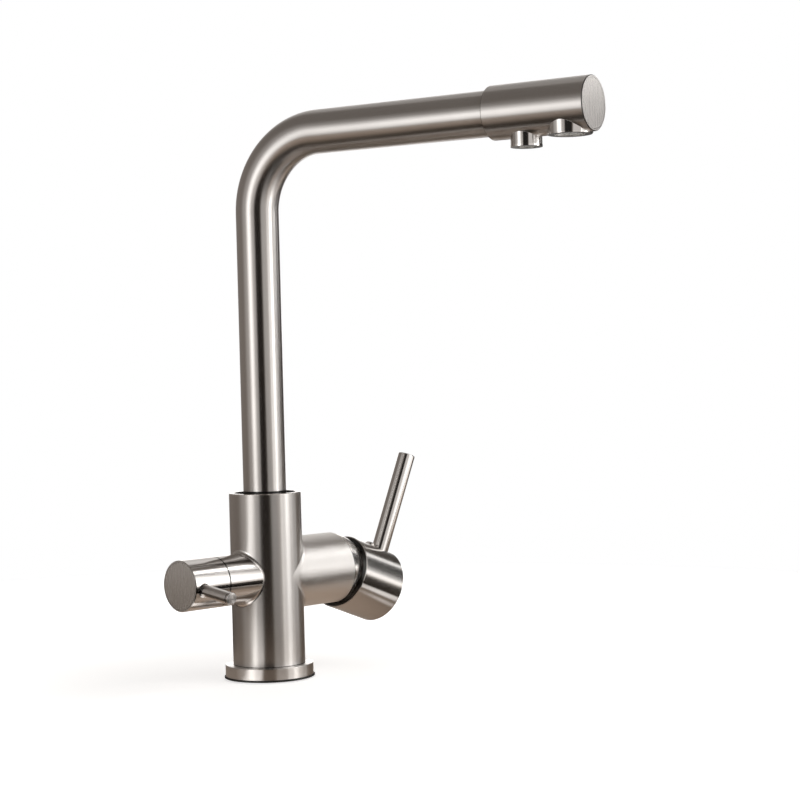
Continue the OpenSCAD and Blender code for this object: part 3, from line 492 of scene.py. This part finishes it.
def satin_nickel(name, axis, rough, whiteness, centre=(0, 0, 0)):
    """Plating left satin: lightly drawn, and whitened along the strokes."""
    made, tree, shader = new_material(name)
    strokes = brushed(tree, along(tree, axis), rough)
    plate(tree, shader, strokes, across_lines(tree, axis, centre), drawn=SATIN_DRAWN)
    tint(tree, shader, spread(tree, strokes["Lines"], *whiteness), SATIN)
    return made


STUB_FILLET, HOUSING_FILLET, HOUSING_ROOT_R = 2.4, 2.6, BODY_R - 0.03
fillet_nickel = brushed_nickel("fillet_nickel", (0, 1, 0), rough=(0.12, 0.18))
stub_root = fillet_mesh("stub_fillet", STUB_R, STUB_FILLET, -1)
fit("stub_fillet", stub_root, fillet_nickel, "base")
fillet_satin = satin_nickel("fillet_satin", (0, 1, 0), rough=(0.28, 0.34), whiteness=(0.4, 0.6))
housing_root = fillet_mesh("housing_fillet", HOUSING_ROOT_R, HOUSING_FILLET, 1)
fit("housing_fillet", housing_root, fillet_satin, "base")

# Spout nut
# A ring nut of plated brass, screwed down in the top of the column until it is sunk below the rim.
# It holds the collar of the swivel foot, so that the spout turns but can't lift.
dress(turned_nickel, "spout_nut")

# Spout tube
# A brass tube drawn and bent in one piece, fixed on its swivel foot below and in the head at its end.
# It is nickel plated and brushed round the tube all along its bend.
BEND_R, ARM_Z, SPOUT_REST, FOOT_DARK = 43.5, 313.2, math.radians(13.1), 108.3
arm_axis = Vector((math.sin(SPOUT_REST), -math.cos(SPOUT_REST), 0))


def surplus(tree, first, second):
    """How far the first value is over the second, or nought."""
    return math_node(tree, "MAXIMUM", math_node(tree, "SUBTRACT", first, second), 0.0)


spout_nickel, tree, shader = new_material("spout_nickel")
out, up = along(tree, arm_axis), along(tree, (0, 0, 1))
bend_z, bend_out = (ARM_Z - BEND_R) * MM, BEND_R * MM
angle = math_node(tree, "ARCTAN2", surplus(tree, up, bend_z), surplus(tree, bend_out, out))
straight = math_node(tree, "ADD", math_node(tree, "MINIMUM", up, bend_z), surplus(tree, out, bend_out))
strokes = brushed(tree, math_node(tree, "MULTIPLY_ADD", angle, BEND_R * MM, straight))
risen = vector_node(tree, "MULTIPLY", (0, 0, 1), math_node(tree, "COSINE", angle))
crossing = vector_node(tree, "MULTIPLY_ADD", arm_axis, math_node(tree, "SINE", angle), risen)
plate(tree, shader, strokes, crossing, uneven(tree, strokes["Roughness"]))
# Painted shade on the foot of the tube, down in the recess of the column.
darken(tree, shader, short_of(tree, up, FOOT_DARK))
dress(spout_nickel, "spout_tube")

# Spout head and end cap
# The head is turned from brass and sleeved over the tube, with two bosses for the outlets, and plated.
# Its cap is a pressed-in disc, brushed straight across together with the end of the head.
DISC_ROUGH, DISC_FINE, DISC_RELIEF = (0.255, 0.295), 4000.0, 0.25


def rebrush(tree, shader, mask, crossing, rough):
    """Brushes the masked part another way: its lines cross another direction, with another gloss."""
    turned = shader["Tangent"].links[0].from_node.inputs["Vector"]
    tree.links.new(blend_direction(tree, mask, turned.links[0].from_socket, crossing), turned)
    before = shader["Roughness"].links[0].from_socket
    change = math_node(tree, "SUBTRACT", rough, before)
    tree.links.new(math_node(tree, "MULTIPLY_ADD", mask, change, before), shader["Roughness"])


def end_faced(tree, shader, axis, centre, rough, end_at, level, relief=1.0):
    """A turned piece whose flat end is brushed straight, in line with the disc let into it."""
    reach = along(tree, axis)
    strokes = brushed(tree, reach, rough)
    height = math_node(tree, "MULTIPLY", strokes["Lines"], relief)
    patchy = uneven(tree, strokes["Roughness"])
    plate(tree, shader, strokes, across_lines(tree, axis, centre), patchy, height)
    end_rough = brushed(tree, along(tree, level), DISC_ROUGH, DISC_FINE)["Roughness"]
    rebrush(tree, shader, past(tree, reach, end_at - CLEAR), level, end_rough)
    return reach


HEAD_FROM, HEAD_TO, HEAD_JOINT, HEAD_CHAMFER = 156.6, 216.6, 0.45, 0.5
BOSS_FROM, BOSS_ROUGH = 14.81, 0.14
arm_start, level_side = (0, 0, ARM_Z * MM), arm_axis.cross(Vector((0, 0, 1)))
head_nickel, tree, shader = new_material("head_nickel")
reach = end_faced(tree, shader, arm_axis, arm_start, BRUSHED, HEAD_TO, level_side)
boss = past(tree, off_axis(tree, arm_axis, arm_start), BOSS_FROM)
rebrush(tree, shader, boss, (0, 0, 1), BOSS_ROUGH)
# Painted shade in the joint where the head starts and on the chamfer round its end.
half = HEAD_CHAMFER / 2
chamfer = math_node(tree, "COMPARE", reach, (HEAD_TO - half) * MM, (half - CLEAR / 2) * MM)
darken(tree, shader, any_of(tree, short_of(tree, reach, HEAD_FROM + HEAD_JOINT), chamfer))
dress(head_nickel, "spout_head")


def axis_frame(origin, axis, side):
    """A frame at an origin in millimetres, with Z along the axis and X as near to the side as it goes."""
    z = Vector(axis).normalized()
    x = (Vector(side) - Vector(side).dot(z) * z).normalized()
    made = Matrix((x, z.cross(x), z)).transposed().to_4x4()
    made.translation = Vector(origin) * MM
    return made


def disc_mesh(name, radius, thick):
    return turned_mesh(name, [(0, 0, 0), (radius, 0, 0.1), (radius, thick, 0.08), (0, thick, 0)])


END_CAP_R, END_CAP_FROM = 13.35, 215
disc_nickel, tree, shader = new_material("disc_nickel")
strokes = brushed(tree, along(tree, (0, 1, 0)), DISC_ROUGH, DISC_FINE)
height = math_node(tree, "MULTIPLY", strokes["Lines"], DISC_RELIEF)
plate(tree, shader, strokes, (0, 1, 0), height=height)
end_cap = disc_mesh("spout_end_disc", END_CAP_R, HEAD_TO - END_CAP_FROM)
cap_frame = axis_frame(arm_axis * END_CAP_FROM + Vector((0, 0, ARM_Z)), arm_axis, (0, 0, 1))
fit("spout_end_disc", end_cap, disc_nickel, "spout", cap_frame, ["spout_end_cap"])

# Outlet rings
# Screw-in rings of brass in bright chrome, one in each boss of the head.
# Each holds the flow core of its outlet against a washer.
CHROME_DARK, CHROME_LIGHT, CHROME_ROUGH = (0.72, 0.70, 0.68), (0.80, 0.78, 0.76), (0.03, 0.08)
CHROME_TONE, CHROME_GLOSS = 60, 80
bright_chrome, tree, shader = new_material("bright_chrome")
shader["Metallic"].default_value = 1
tone = blend_colour(tree, mottled(tree, CHROME_TONE, 0, 1), CHROME_DARK, CHROME_LIGHT)
tree.links.new(tone, shader["Base Color"])
tree.links.new(mottled(tree, CHROME_GLOSS, *CHROME_ROUGH), shader["Roughness"])
dress(bright_chrome, "main_aerator_ring", "filter_nozzle_ring")

# Parts inside the spout
# Plastic flow cores under rubber washers, and the hose of the filtered water with its brass elbow.
# The brass swivel foot turns in the column on two rubber rings, round the pipe that feeds the hose.
BONE, PALE_BONE = (0.62, 0.62, 0.6), (0.72, 0.72, 0.7)
pale_plastic = moulded("pale_plastic", BONE, PALE_BONE, (0.4, 0.55), grain=1800, depth=0.00002)
dress(pale_plastic, "main_aerator_core", "filter_nozzle_core", "filter_hose")
dress(black_rubber, "spout_o_rings", "main_aerator_washer", "filter_nozzle_washer")
TOOL_AXIS, TOOL_MARKS = (0.6, 0.5, 0.62), 1500.0


def machined(name, dark, light, rough):
    """Bare metal with the marks of the cutting tool."""
    made, tree, shader = new_material(name)
    marks = brushed(tree, along(tree, TOOL_AXIS), rough, TOOL_MARKS, dark, light)
    tree.links.new(marks["Tone"], shader["Base Color"])
    tree.links.new(marks["Roughness"], shader["Roughness"])
    shader["Metallic"].default_value = 1
    return made


brass = machined("brass", (0.62, 0.46, 0.22), (0.78, 0.62, 0.34), rough=(0.22, 0.36))
dress(brass, "spout_base", "filter_feed_pipe", "filter_elbow")

# Mixer cartridge
# A plastic base, shell and carrier with rubber seals, two lapped ceramic discs and a steel stem on a pin.
# A brass ring nut holds it down in the housing.
CREAM, PALE_CREAM = (0.80, 0.79, 0.76), (0.86, 0.85, 0.82)
ceramic = moulded("ceramic", CREAM, PALE_CREAM, (0.15, 0.25), grain=3000, depth=0.000004)
steel = machined("steel", (0.46, 0.46, 0.47), (0.6, 0.6, 0.61), rough=(0.2, 0.34))
dress(pale_plastic, "cartridge_base", "cartridge_shell", "cartridge_carrier", "cartridge_disc_guide")
dress(ceramic, "cartridge_fixed_disc", "cartridge_moving_disc")
dress(black_rubber, "cartridge_seals")
dress(steel, "cartridge_pin", "cartridge_stem")
dress(brass, "cartridge_nut")

# Bonnet ring
# A ball-shaped ring of plated brass on the end of the housing, over which the hub of the lever rolls.
# Its plating is smoother and brighter than the housing's.
BONNET_ROUGH, BONNET_WHITENESS = (0.20, 0.26), (0.8, 1.0)
satin_chrome = satin_nickel("satin_chrome", (1, 0, 0), BONNET_ROUGH, BONNET_WHITENESS, BRANCH_START)
dress(satin_chrome, "bonnet_ring")

# Mixer hub, lever rod and index plug
# The hub is a turned and plated cup, brushed round, with painted shade on its rim. A set screw under a
# button plug clamps it on the stem, and the polished rod is screwed into its side.
PIVOT, LEVER_TURN, LEVER_LIFT = Vector((50, 0, BRANCH_Z)), 4.5, 20.4
lever_frame = (
    Matrix.Translation(PIVOT * MM)
    @ Matrix.Rotation(math.radians(LEVER_TURN), 4, "X")
    @ Matrix.Rotation(math.radians(LEVER_LIFT), 4, "Y")
)
hub_axis = lever_frame.to_3x3() @ Vector((1, 0, 0))
rod_axis = lever_frame.to_3x3() @ Vector((0, 0, 1))

HUB_START, RIM, RIM_SHADE_R = 9.69, 0.6, 21.45
HUB_ROUGH, HUB_UNEVEN, HUB_DRAWN = (0.17, 0.21), (-0.01, 0.01), 1.0
hub_nickel, tree, shader = new_material("hub_nickel")
reach = along(tree, hub_axis)
strokes = brushed(tree, reach, HUB_ROUGH)
patchy = uneven(tree, strokes["Roughness"], HUB_UNEVEN)
plate(tree, shader, strokes, across_lines(tree, hub_axis, PIVOT * MM), patchy, drawn=HUB_DRAWN)
# Painted shade on the rim's face and in the mouth of the cup behind it.
in_rim = short_of(tree, reach, HUB_START + RIM + hub_axis.dot(PIVOT))
in_cup = short_of(tree, off_axis(tree, hub_axis, PIVOT * MM), RIM_SHADE_R)
darken(tree, shader, math_node(tree, "MULTIPLY", in_rim, in_cup))
dress(hub_nickel, "mixer_hub")

ROD_S, ROD_FOOT, ROD_TIP, ROD_R, ROD_DRAWN = 37.69, 18, 83.4, 5.2, 0.2
rod_len = ROD_TIP - ROD_FOOT
rod = turned_mesh("mixer_rod", [(0, 0, 0), (ROD_R, 0, 0.1), (ROD_R, rod_len, 0.6), (0, rod_len, 0)])
rod_frame = lever_frame @ Matrix.Translation(Vector((ROD_S, 0, ROD_FOOT)) * MM)
rod_nickel = brushed_nickel("rod_nickel", (0, 0, 1), rough=(0.11, 0.14), drawn=ROD_DRAWN)
fit("mixer_rod", rod, rod_nickel, "mixer_lever", rod_frame, ["mixer_lever_rod"])
PLUG_S = 28.59
plug_at = lever_frame @ Vector((PLUG_S * MM, 0, 0))
plug_nickel = brushed_nickel("plug_nickel", rod_axis, rough=(0.1, 0.15), centre=plug_at)
dress(plug_nickel, "hub_index_plug")
dress(steel, "hub_set_screw")

# Filter valve
# A brass quarter-turn valve, screwed into the stub, with a rubber seat and two lapped ceramic discs.
# A steel screw in the end of its spindle holds the knob.
dress(brass, "filter_valve_shell", "filter_valve_spindle")
dress(black_rubber, "filter_valve_seal")
dress(ceramic, "filter_valve_fixed_disc", "filter_valve_moving_disc")
dress(steel, "filter_knob_screw")

# Filter knob
# A polished cup on the square of the valve spindle, closed by a pressed-in disc brushed straight.
# Its pin lever is pressed into a hole in its side.
KNOB_DARK, KNOB_ROUGH, KNOB_RELIEF = 40.65, (0.10, 0.13), 0.1
KNOB_CAP_FROM, KNOB_CAP_TO, KNOB_CAP_R = 63.8, 65.4, 13.25
knob_axis = (-1, 0, 0)
knob_nickel, tree, shader = new_material("knob_nickel")
reach = end_faced(
    tree, shader, knob_axis, BRANCH_START, KNOB_ROUGH, KNOB_CAP_TO, (0, 1, 0), KNOB_RELIEF
)
# Painted shade in the seam where the knob meets the stub.
darken(tree, shader, short_of(tree, reach, KNOB_DARK))
dress(knob_nickel, "filter_knob")
knob_cap = disc_mesh("filter_knob_disc", KNOB_CAP_R, KNOB_CAP_TO - KNOB_CAP_FROM)
cap_frame = axis_frame((-KNOB_CAP_FROM, 0, BRANCH_Z), knob_axis, (0, 0, 1))
fit("filter_knob_disc", knob_cap, disc_nickel, "filter_handle", cap_frame, ["filter_knob_cap"])

PIN_X, PIN_DROOP = -59.5, math.radians(8)
PIN_FOOT, PIN_TIP, PIN_R, PIN_CHAMFER = 8.05, 38.45, 3.5, 0.9
COLLAR_AT, GROOVE_AT, GROOVE = 14.7, 35.6, 0.6
PIN_ROUGH, TIP_ROUGH, PIN_DRAWN = (0.15, 0.19), 0.35, 0.5
pin = turned_mesh(
    "filter_knob_pin",
    [
        (0, PIN_FOOT, 0),
        (PIN_R, PIN_FOOT, 0.1),
        (PIN_R, COLLAR_AT, 0.05),
        (PIN_R - GROOVE / 2, COLLAR_AT, 0.05),
        (PIN_R - GROOVE / 2, COLLAR_AT + GROOVE, 0.05),
        (PIN_R, COLLAR_AT + GROOVE, 0.05),
        (PIN_R, GROOVE_AT, 0.1),
        (PIN_R - GROOVE, GROOVE_AT, 0.05),
        (PIN_R - GROOVE, GROOVE_AT + GROOVE, 0.05),
        (PIN_R, GROOVE_AT + GROOVE, 0.1),
        (PIN_R, PIN_TIP - PIN_CHAMFER, 0.3),
        (PIN_R - PIN_CHAMFER, PIN_TIP, 0.3),
        (0, PIN_TIP, 0),
    ],
    steps=64,
)
pin_nickel, tree, shader = new_material("pin_nickel")
reach = along(tree, (0, 0, 1))
strokes = brushed(tree, reach, PIN_ROUGH)
tip = past(tree, reach, PIN_TIP - PIN_CHAMFER - CLEAR)
rough = math_node(tree, "MULTIPLY_ADD", tip, TIP_ROUGH, strokes["Roughness"])
plate(tree, shader, strokes, across_lines(tree, (0, 0, 1)), rough, drawn=PIN_DRAWN)
# Painted shade in both grooves of the pin, at its foot and near its tip.
half = GROOVE / 2
middles = (COLLAR_AT + half, GROOVE_AT + half)
grooves = [math_node(tree, "COMPARE", reach, middle * MM, half * MM) for middle in middles]
darken(tree, shader, any_of(tree, *grooves))
pin_axis = (0, -math.cos(PIN_DROOP), -math.sin(PIN_DROOP))
pin_frame = axis_frame((PIN_X, 0, BRANCH_Z), pin_axis, (1, 0, 0))
fit("filter_knob_pin", pin, pin_nickel, "filter_handle", pin_frame, ["filter_knob_lever"])

# Studio
# A white floor and backdrop, in a round tent of grey cloth and soft boxes that gives all the light.
# Under the tap, a glossy bench glows brown with painted shade and painted glare, and a dark mat paints
# more shade. Only the metal shows tent, bench and mat.


def background_seen(tree):
    """One for rays that see the backdrop, straight or in a mirror, and nought for those that light."""
    path = add_node(tree, "ShaderNodeLightPath").outputs
    return any_of(tree, path["Is Camera Ray"], path["Is Glossy Ray"], path["Is Transmission Ray"])


world = bpy.data.worlds.new("backdrop")
bpy.context.scene.world = world
world.use_nodes = True
shown = world.node_tree.nodes["Background"]
shown.inputs["Color"].default_value = (1, 1, 1, 1)
world.node_tree.links.new(background_seen(world.node_tree), shown.inputs["Strength"])


def put_on_stage(name, mesh, material, height=0):
    mesh.materials.append(material)
    made = bpy.data.objects.new(name, mesh)
    made.location = (0, 0, height)
    bpy.context.scene.collection.objects.link(made)
    return made


def stage_disc(name, radius, height, material):
    build = bmesh.new()
    bmesh.ops.create_circle(build, cap_ends=True, radius=radius, segments=RING_STEPS)
    mesh = bpy.data.meshes.new(name)
    build.to_mesh(mesh)
    build.free()
    return put_on_stage(name, mesh, material, height)


def bare_material(name):
    """A material with no shader yet, and its surface input."""
    made, tree, _ = new_material(name)
    tree.nodes.remove(tree.nodes["Principled BSDF"])
    made.cycles.emission_sampling = "NONE"
    return made, tree, tree.nodes["Material Output"].inputs["Surface"]


def from_middle(tree):
    return vector_node(tree, "LENGTH", object_place(tree))


FLOOR_R, FLOOR_Z = 0.62, -0.0006
FLOOR_NEAR, FLOOR_FAR, FADE_FROM, FADE_TO = 0.62, 0.84, 0.05, 0.28
floor_white, tree, surface = bare_material("floor_white")
matte = add_node(tree, "ShaderNodeBsdfDiffuse", {"Color": (0.8, 0.8, 0.8, 1)})
white = spread(tree, from_middle(tree), FLOOR_NEAR, FLOOR_FAR, FADE_FROM, FADE_TO, "SMOOTHSTEP")
strength = math_node(tree, "MULTIPLY", background_seen(tree), white)
glow = add_node(tree, "ShaderNodeEmission", {"Strength": strength})
both = add_node(tree, "ShaderNodeAddShader", {0: matte.outputs[0], 1: glow.outputs[0]})
tree.links.new(both.outputs[0], surface)
stage_disc("floor", FLOOR_R, FLOOR_Z, floor_white)

PANEL_SIDES = ("Centre", "Half Width", "Side Feather")
PANEL_ENDS = ("Middle", "Half Length", "End Feather")
soft_panel, given, put_out = new_group(
    "soft_panel",
    dict.fromkeys(("Azimuth", "Reach", *PANEL_SIDES, *PANEL_ENDS), "Float"),
    {"Mask": "Float"},
)
aside = math_node(soft_panel, "SUBTRACT", given["Azimuth"], given["Centre"])
aside = math_node(soft_panel, "WRAP", aside, 180.0, -180.0)
above = math_node(soft_panel, "SUBTRACT", given["Reach"], given["Middle"])
masks = []
for off, (_, half, feather) in ((aside, PANEL_SIDES), (above, PANEL_ENDS)):
    off = math_node(soft_panel, "ABSOLUTE", off)
    edge = math_node(soft_panel, "ADD", given[half], given[feather])
    masks.append(spread(soft_panel, off, 1.0, 0.0, given[half], edge, "SMOOTHSTEP"))
soft_panel.links.new(math_node(soft_panel, "MULTIPLY", *masks), put_out["Mask"])


def panels(tree, azimuth, reach, rows):
    """The sum of soft panels. A row is a name, a strength, and the centre, half size and feather of the
    panel in degrees round the tap, then in metres up the wall or out over the bench."""
    total = 0.0
    for name, strength, *shape in rows:
        inputs = {"Azimuth": azimuth, "Reach": reach, **dict(zip(PANEL_SIDES + PANEL_ENDS, shape))}
        panel = use_group(tree, soft_panel, inputs)
        panel.label = name
        total = math_node(tree, "MULTIPLY_ADD", panel.outputs["Mask"], strength, total)
    return total


def round_the_tap(tree):
    """Degrees round the tap from the side that the camera is on, and the height over the worktop."""
    axes = add_node(tree, "ShaderNodeSeparateXYZ", {"Vector": object_place(tree)}).outputs
    toward = math_node(tree, "MULTIPLY", axes["Y"], -1.0)
    return math_node(tree, "DEGREES", math_node(tree, "ARCTAN2", axes["X"], toward)), axes["Z"]


LAMP, CLOTH, BROWN = (1.01, 1.0, 0.985), (1.11, 0.98, 0.885), (1.24, 0.95, 0.74)
MIRROR, MIRROR_ROUGH, MIRROR_RISE = (0.95, 0.93, 0.90, 1), 0.03, 3.0
# The bench glows: painted shade in rings round the tap and painted glare in streaks, under a mirror gloss
# that grows towards grazing.
bench_brown, tree, surface = bare_material("bench_brown")
azimuth, _ = round_the_tap(tree)
far = from_middle(tree)
ramp = add_node(tree, "ShaderNodeValToRGB", {"Fac": far})
stops = ramp.color_ramp.elements
painted_bench_shades = (
    (0.03, 0.32),
    (0.08, 0.28),
    (0.10, 0.22),
    (0.13, 0.12),
    (0.18, 0.12),
    (0.36, 0.29),
    (0.66, 0.39),
)
for i, (position, shade) in enumerate(painted_bench_shades):
    stop = stops[i] if i < 2 else stops.new(position)
    stop.position = position
    stop.color = (*(shade * part for part in BROWN), 1)
painted_glare = panels(tree, azimuth, far, (
    ("glare before the foot", 1.5, -24, 11, 8, 0.03, 0.065, 0.045),
    ("glare under the hub", 1.3, 106, 5, 2, 0.137, 0.01, 0.008),
    ("line under the hub", 0.6, 114, 3, 2, 0.108, 0.003, 0.005),
))
lit = vector_node(tree, "MULTIPLY_ADD", LAMP, painted_glare, ramp.outputs["Color"])
glow = add_node(tree, "ShaderNodeEmission", {"Color": lit, "Strength": 1.0})
mirror = add_node(tree, "ShaderNodeBsdfGlossy", {"Color": MIRROR, "Roughness": MIRROR_ROUGH})
facing = add_node(tree, "ShaderNodeLayerWeight", {"Blend": 0.5}).outputs["Facing"]
share = math_node(tree, "POWER", facing, MIRROR_RISE)
gloss = add_node(tree, "ShaderNodeMixShader", {0: share, 1: glow.outputs[0], 2: mirror.outputs[0]})
tree.links.new(gloss.outputs[0], surface)

# The mat is a dark sheet seen only in the metal: painted shade laid over the bench's glow in its
# reflection.
bench_mat, tree, shader = new_material("bench_mat")
azimuth, _ = round_the_tap(tree)
shader["Base Color"].default_value = (0.004, 0.004, 0.004, 1)
shader["Roughness"].default_value = 1
shader["Specular IOR Level"].default_value = 0
mat_shade = panels(tree, azimuth, from_middle(tree), (
    ("front mat", 0.97, 8, 26, 17, 0.35, 0.24, 0.08),
    ("right mat", 0.85, 88, 18, 12, 0.29, 0.13, 0.02),
    ("left mat", 0.35, -130, 45, 25, 0.42, 0.15, 0.10),
    ("mat round the foot", 0.55, -45, 110, 20, 0.165, 0.06, 0.03),
    ("back mat", 0.60, 180, 30, 15, 0.52, 0.14, 0.12),
))
tree.links.new(mat_shade, shader["Alpha"])

TENT_R, BENCH_Z, MAT_Z = 0.66, -0.0003, -0.0001
for name, height, material in (("bench", BENCH_Z, bench_brown), ("mat", MAT_Z, bench_mat)):
    sheet = stage_disc(name, TENT_R, height, material)
    sheet.rotation_euler = (0, 0, turn)
    sheet.visible_camera = sheet.visible_diffuse = sheet.visible_shadow = False

CLOTH_LOW, CLOTH_HIGH, SHADE_FROM, SHADE_TO = 0.21, 0.17, 0.35, 0.85
tent_cloth, tree, surface = bare_material("tent_cloth")
azimuth, height = round_the_tap(tree)
boxes = panels(tree, azimuth, height, (
    ("left key", 1.9, -45, 2, 19, 0.30, 0.03, 0.30),
    ("left fill", 0.3, -60, 10, 25, 0.30, 0.20, 0.40),
    ("left low box", 0.75, -32, 11, 14, 0.20, 0.10, 0.13),
    ("right strip", 2.6, 79, 6, 3, 0.37, 0.24, 0.18),
    ("right wing", 1.2, 64, 9, 3, 0.40, 0.36, 0.28),
    ("right veil", 0.5, 40, 15, 4, 0.30, 0.15, 0.22),
    ("right top box", 3.3, 106, 4, 10, 0.60, 0.06, 0.16),
    ("right rim box", 1.9, 113, 10, 4, 0.42, 0.19, 0.04),
    ("right low box", 1.3, 102, 11, 5, 0.10, 0.10, 0.05),
    ("right slit", 9.0, 129, 4, 3, 0.30, 0.035, 0.02),
    ("right high box", 1.2, 96, 8, 8, 0.80, 0.12, 0.10),
    ("back fill", 0.45, 177, 14, 13, 0.38, 0.37, 0.26),
    ("back top fill", 0.2, 178, 23, 26, 0.85, 0.22, 0.15),
    ("back low box", 1.2, 180, 9, 6, 0.14, 0.09, 0.05),
))
flags = panels(tree, azimuth, height, (
    ("front flag", 0.9, 3, 14, 4, 0.5, 0.6, 0.2),
    ("right flag", 0.97, 113, 12, 10, 0.24, 0.13, 0.08),
    ("right top flag", 0.8, 92, 6, 4, 0.585, 0.05, 0.05),
    ("back flag", 0.8, 148, 14, 7, 0.15, 0.20, 0.10),
    ("back top flag", 0.25, 148, 13, 7, 1.0, 0.15, 0.10),
))
shade = spread(tree, height, CLOTH_LOW, CLOTH_HIGH, SHADE_FROM, SHADE_TO, "SMOOTHSTEP")
cloth = vector_node(tree, "MULTIPLY", CLOTH, shade)
lit = vector_node(tree, "MULTIPLY_ADD", LAMP, boxes, cloth)
lit = vector_node(tree, "MULTIPLY", lit, surplus(tree, 1.0, flags))
glow = add_node(tree, "ShaderNodeEmission", {"Color": lit, "Strength": 1.0})
tree.links.new(glow.outputs[0], surface)
WALL_R, WALL_FOOT, WALL_TOP = TENT_R / MM, -0.2, 1000
wall = [(WALL_R, WALL_FOOT, 0), (WALL_R, WALL_TOP, 2), (0, WALL_TOP, 0)]
tent_mesh = turned_mesh("tent", wall, steps=RING_STEPS)
tent = put_on_stage("tent", tent_mesh, tent_cloth)
tent.rotation_euler = (0, 0, turn)
tent.visible_camera = False

bpy.context.scene.view_settings.view_transform = "Standard"
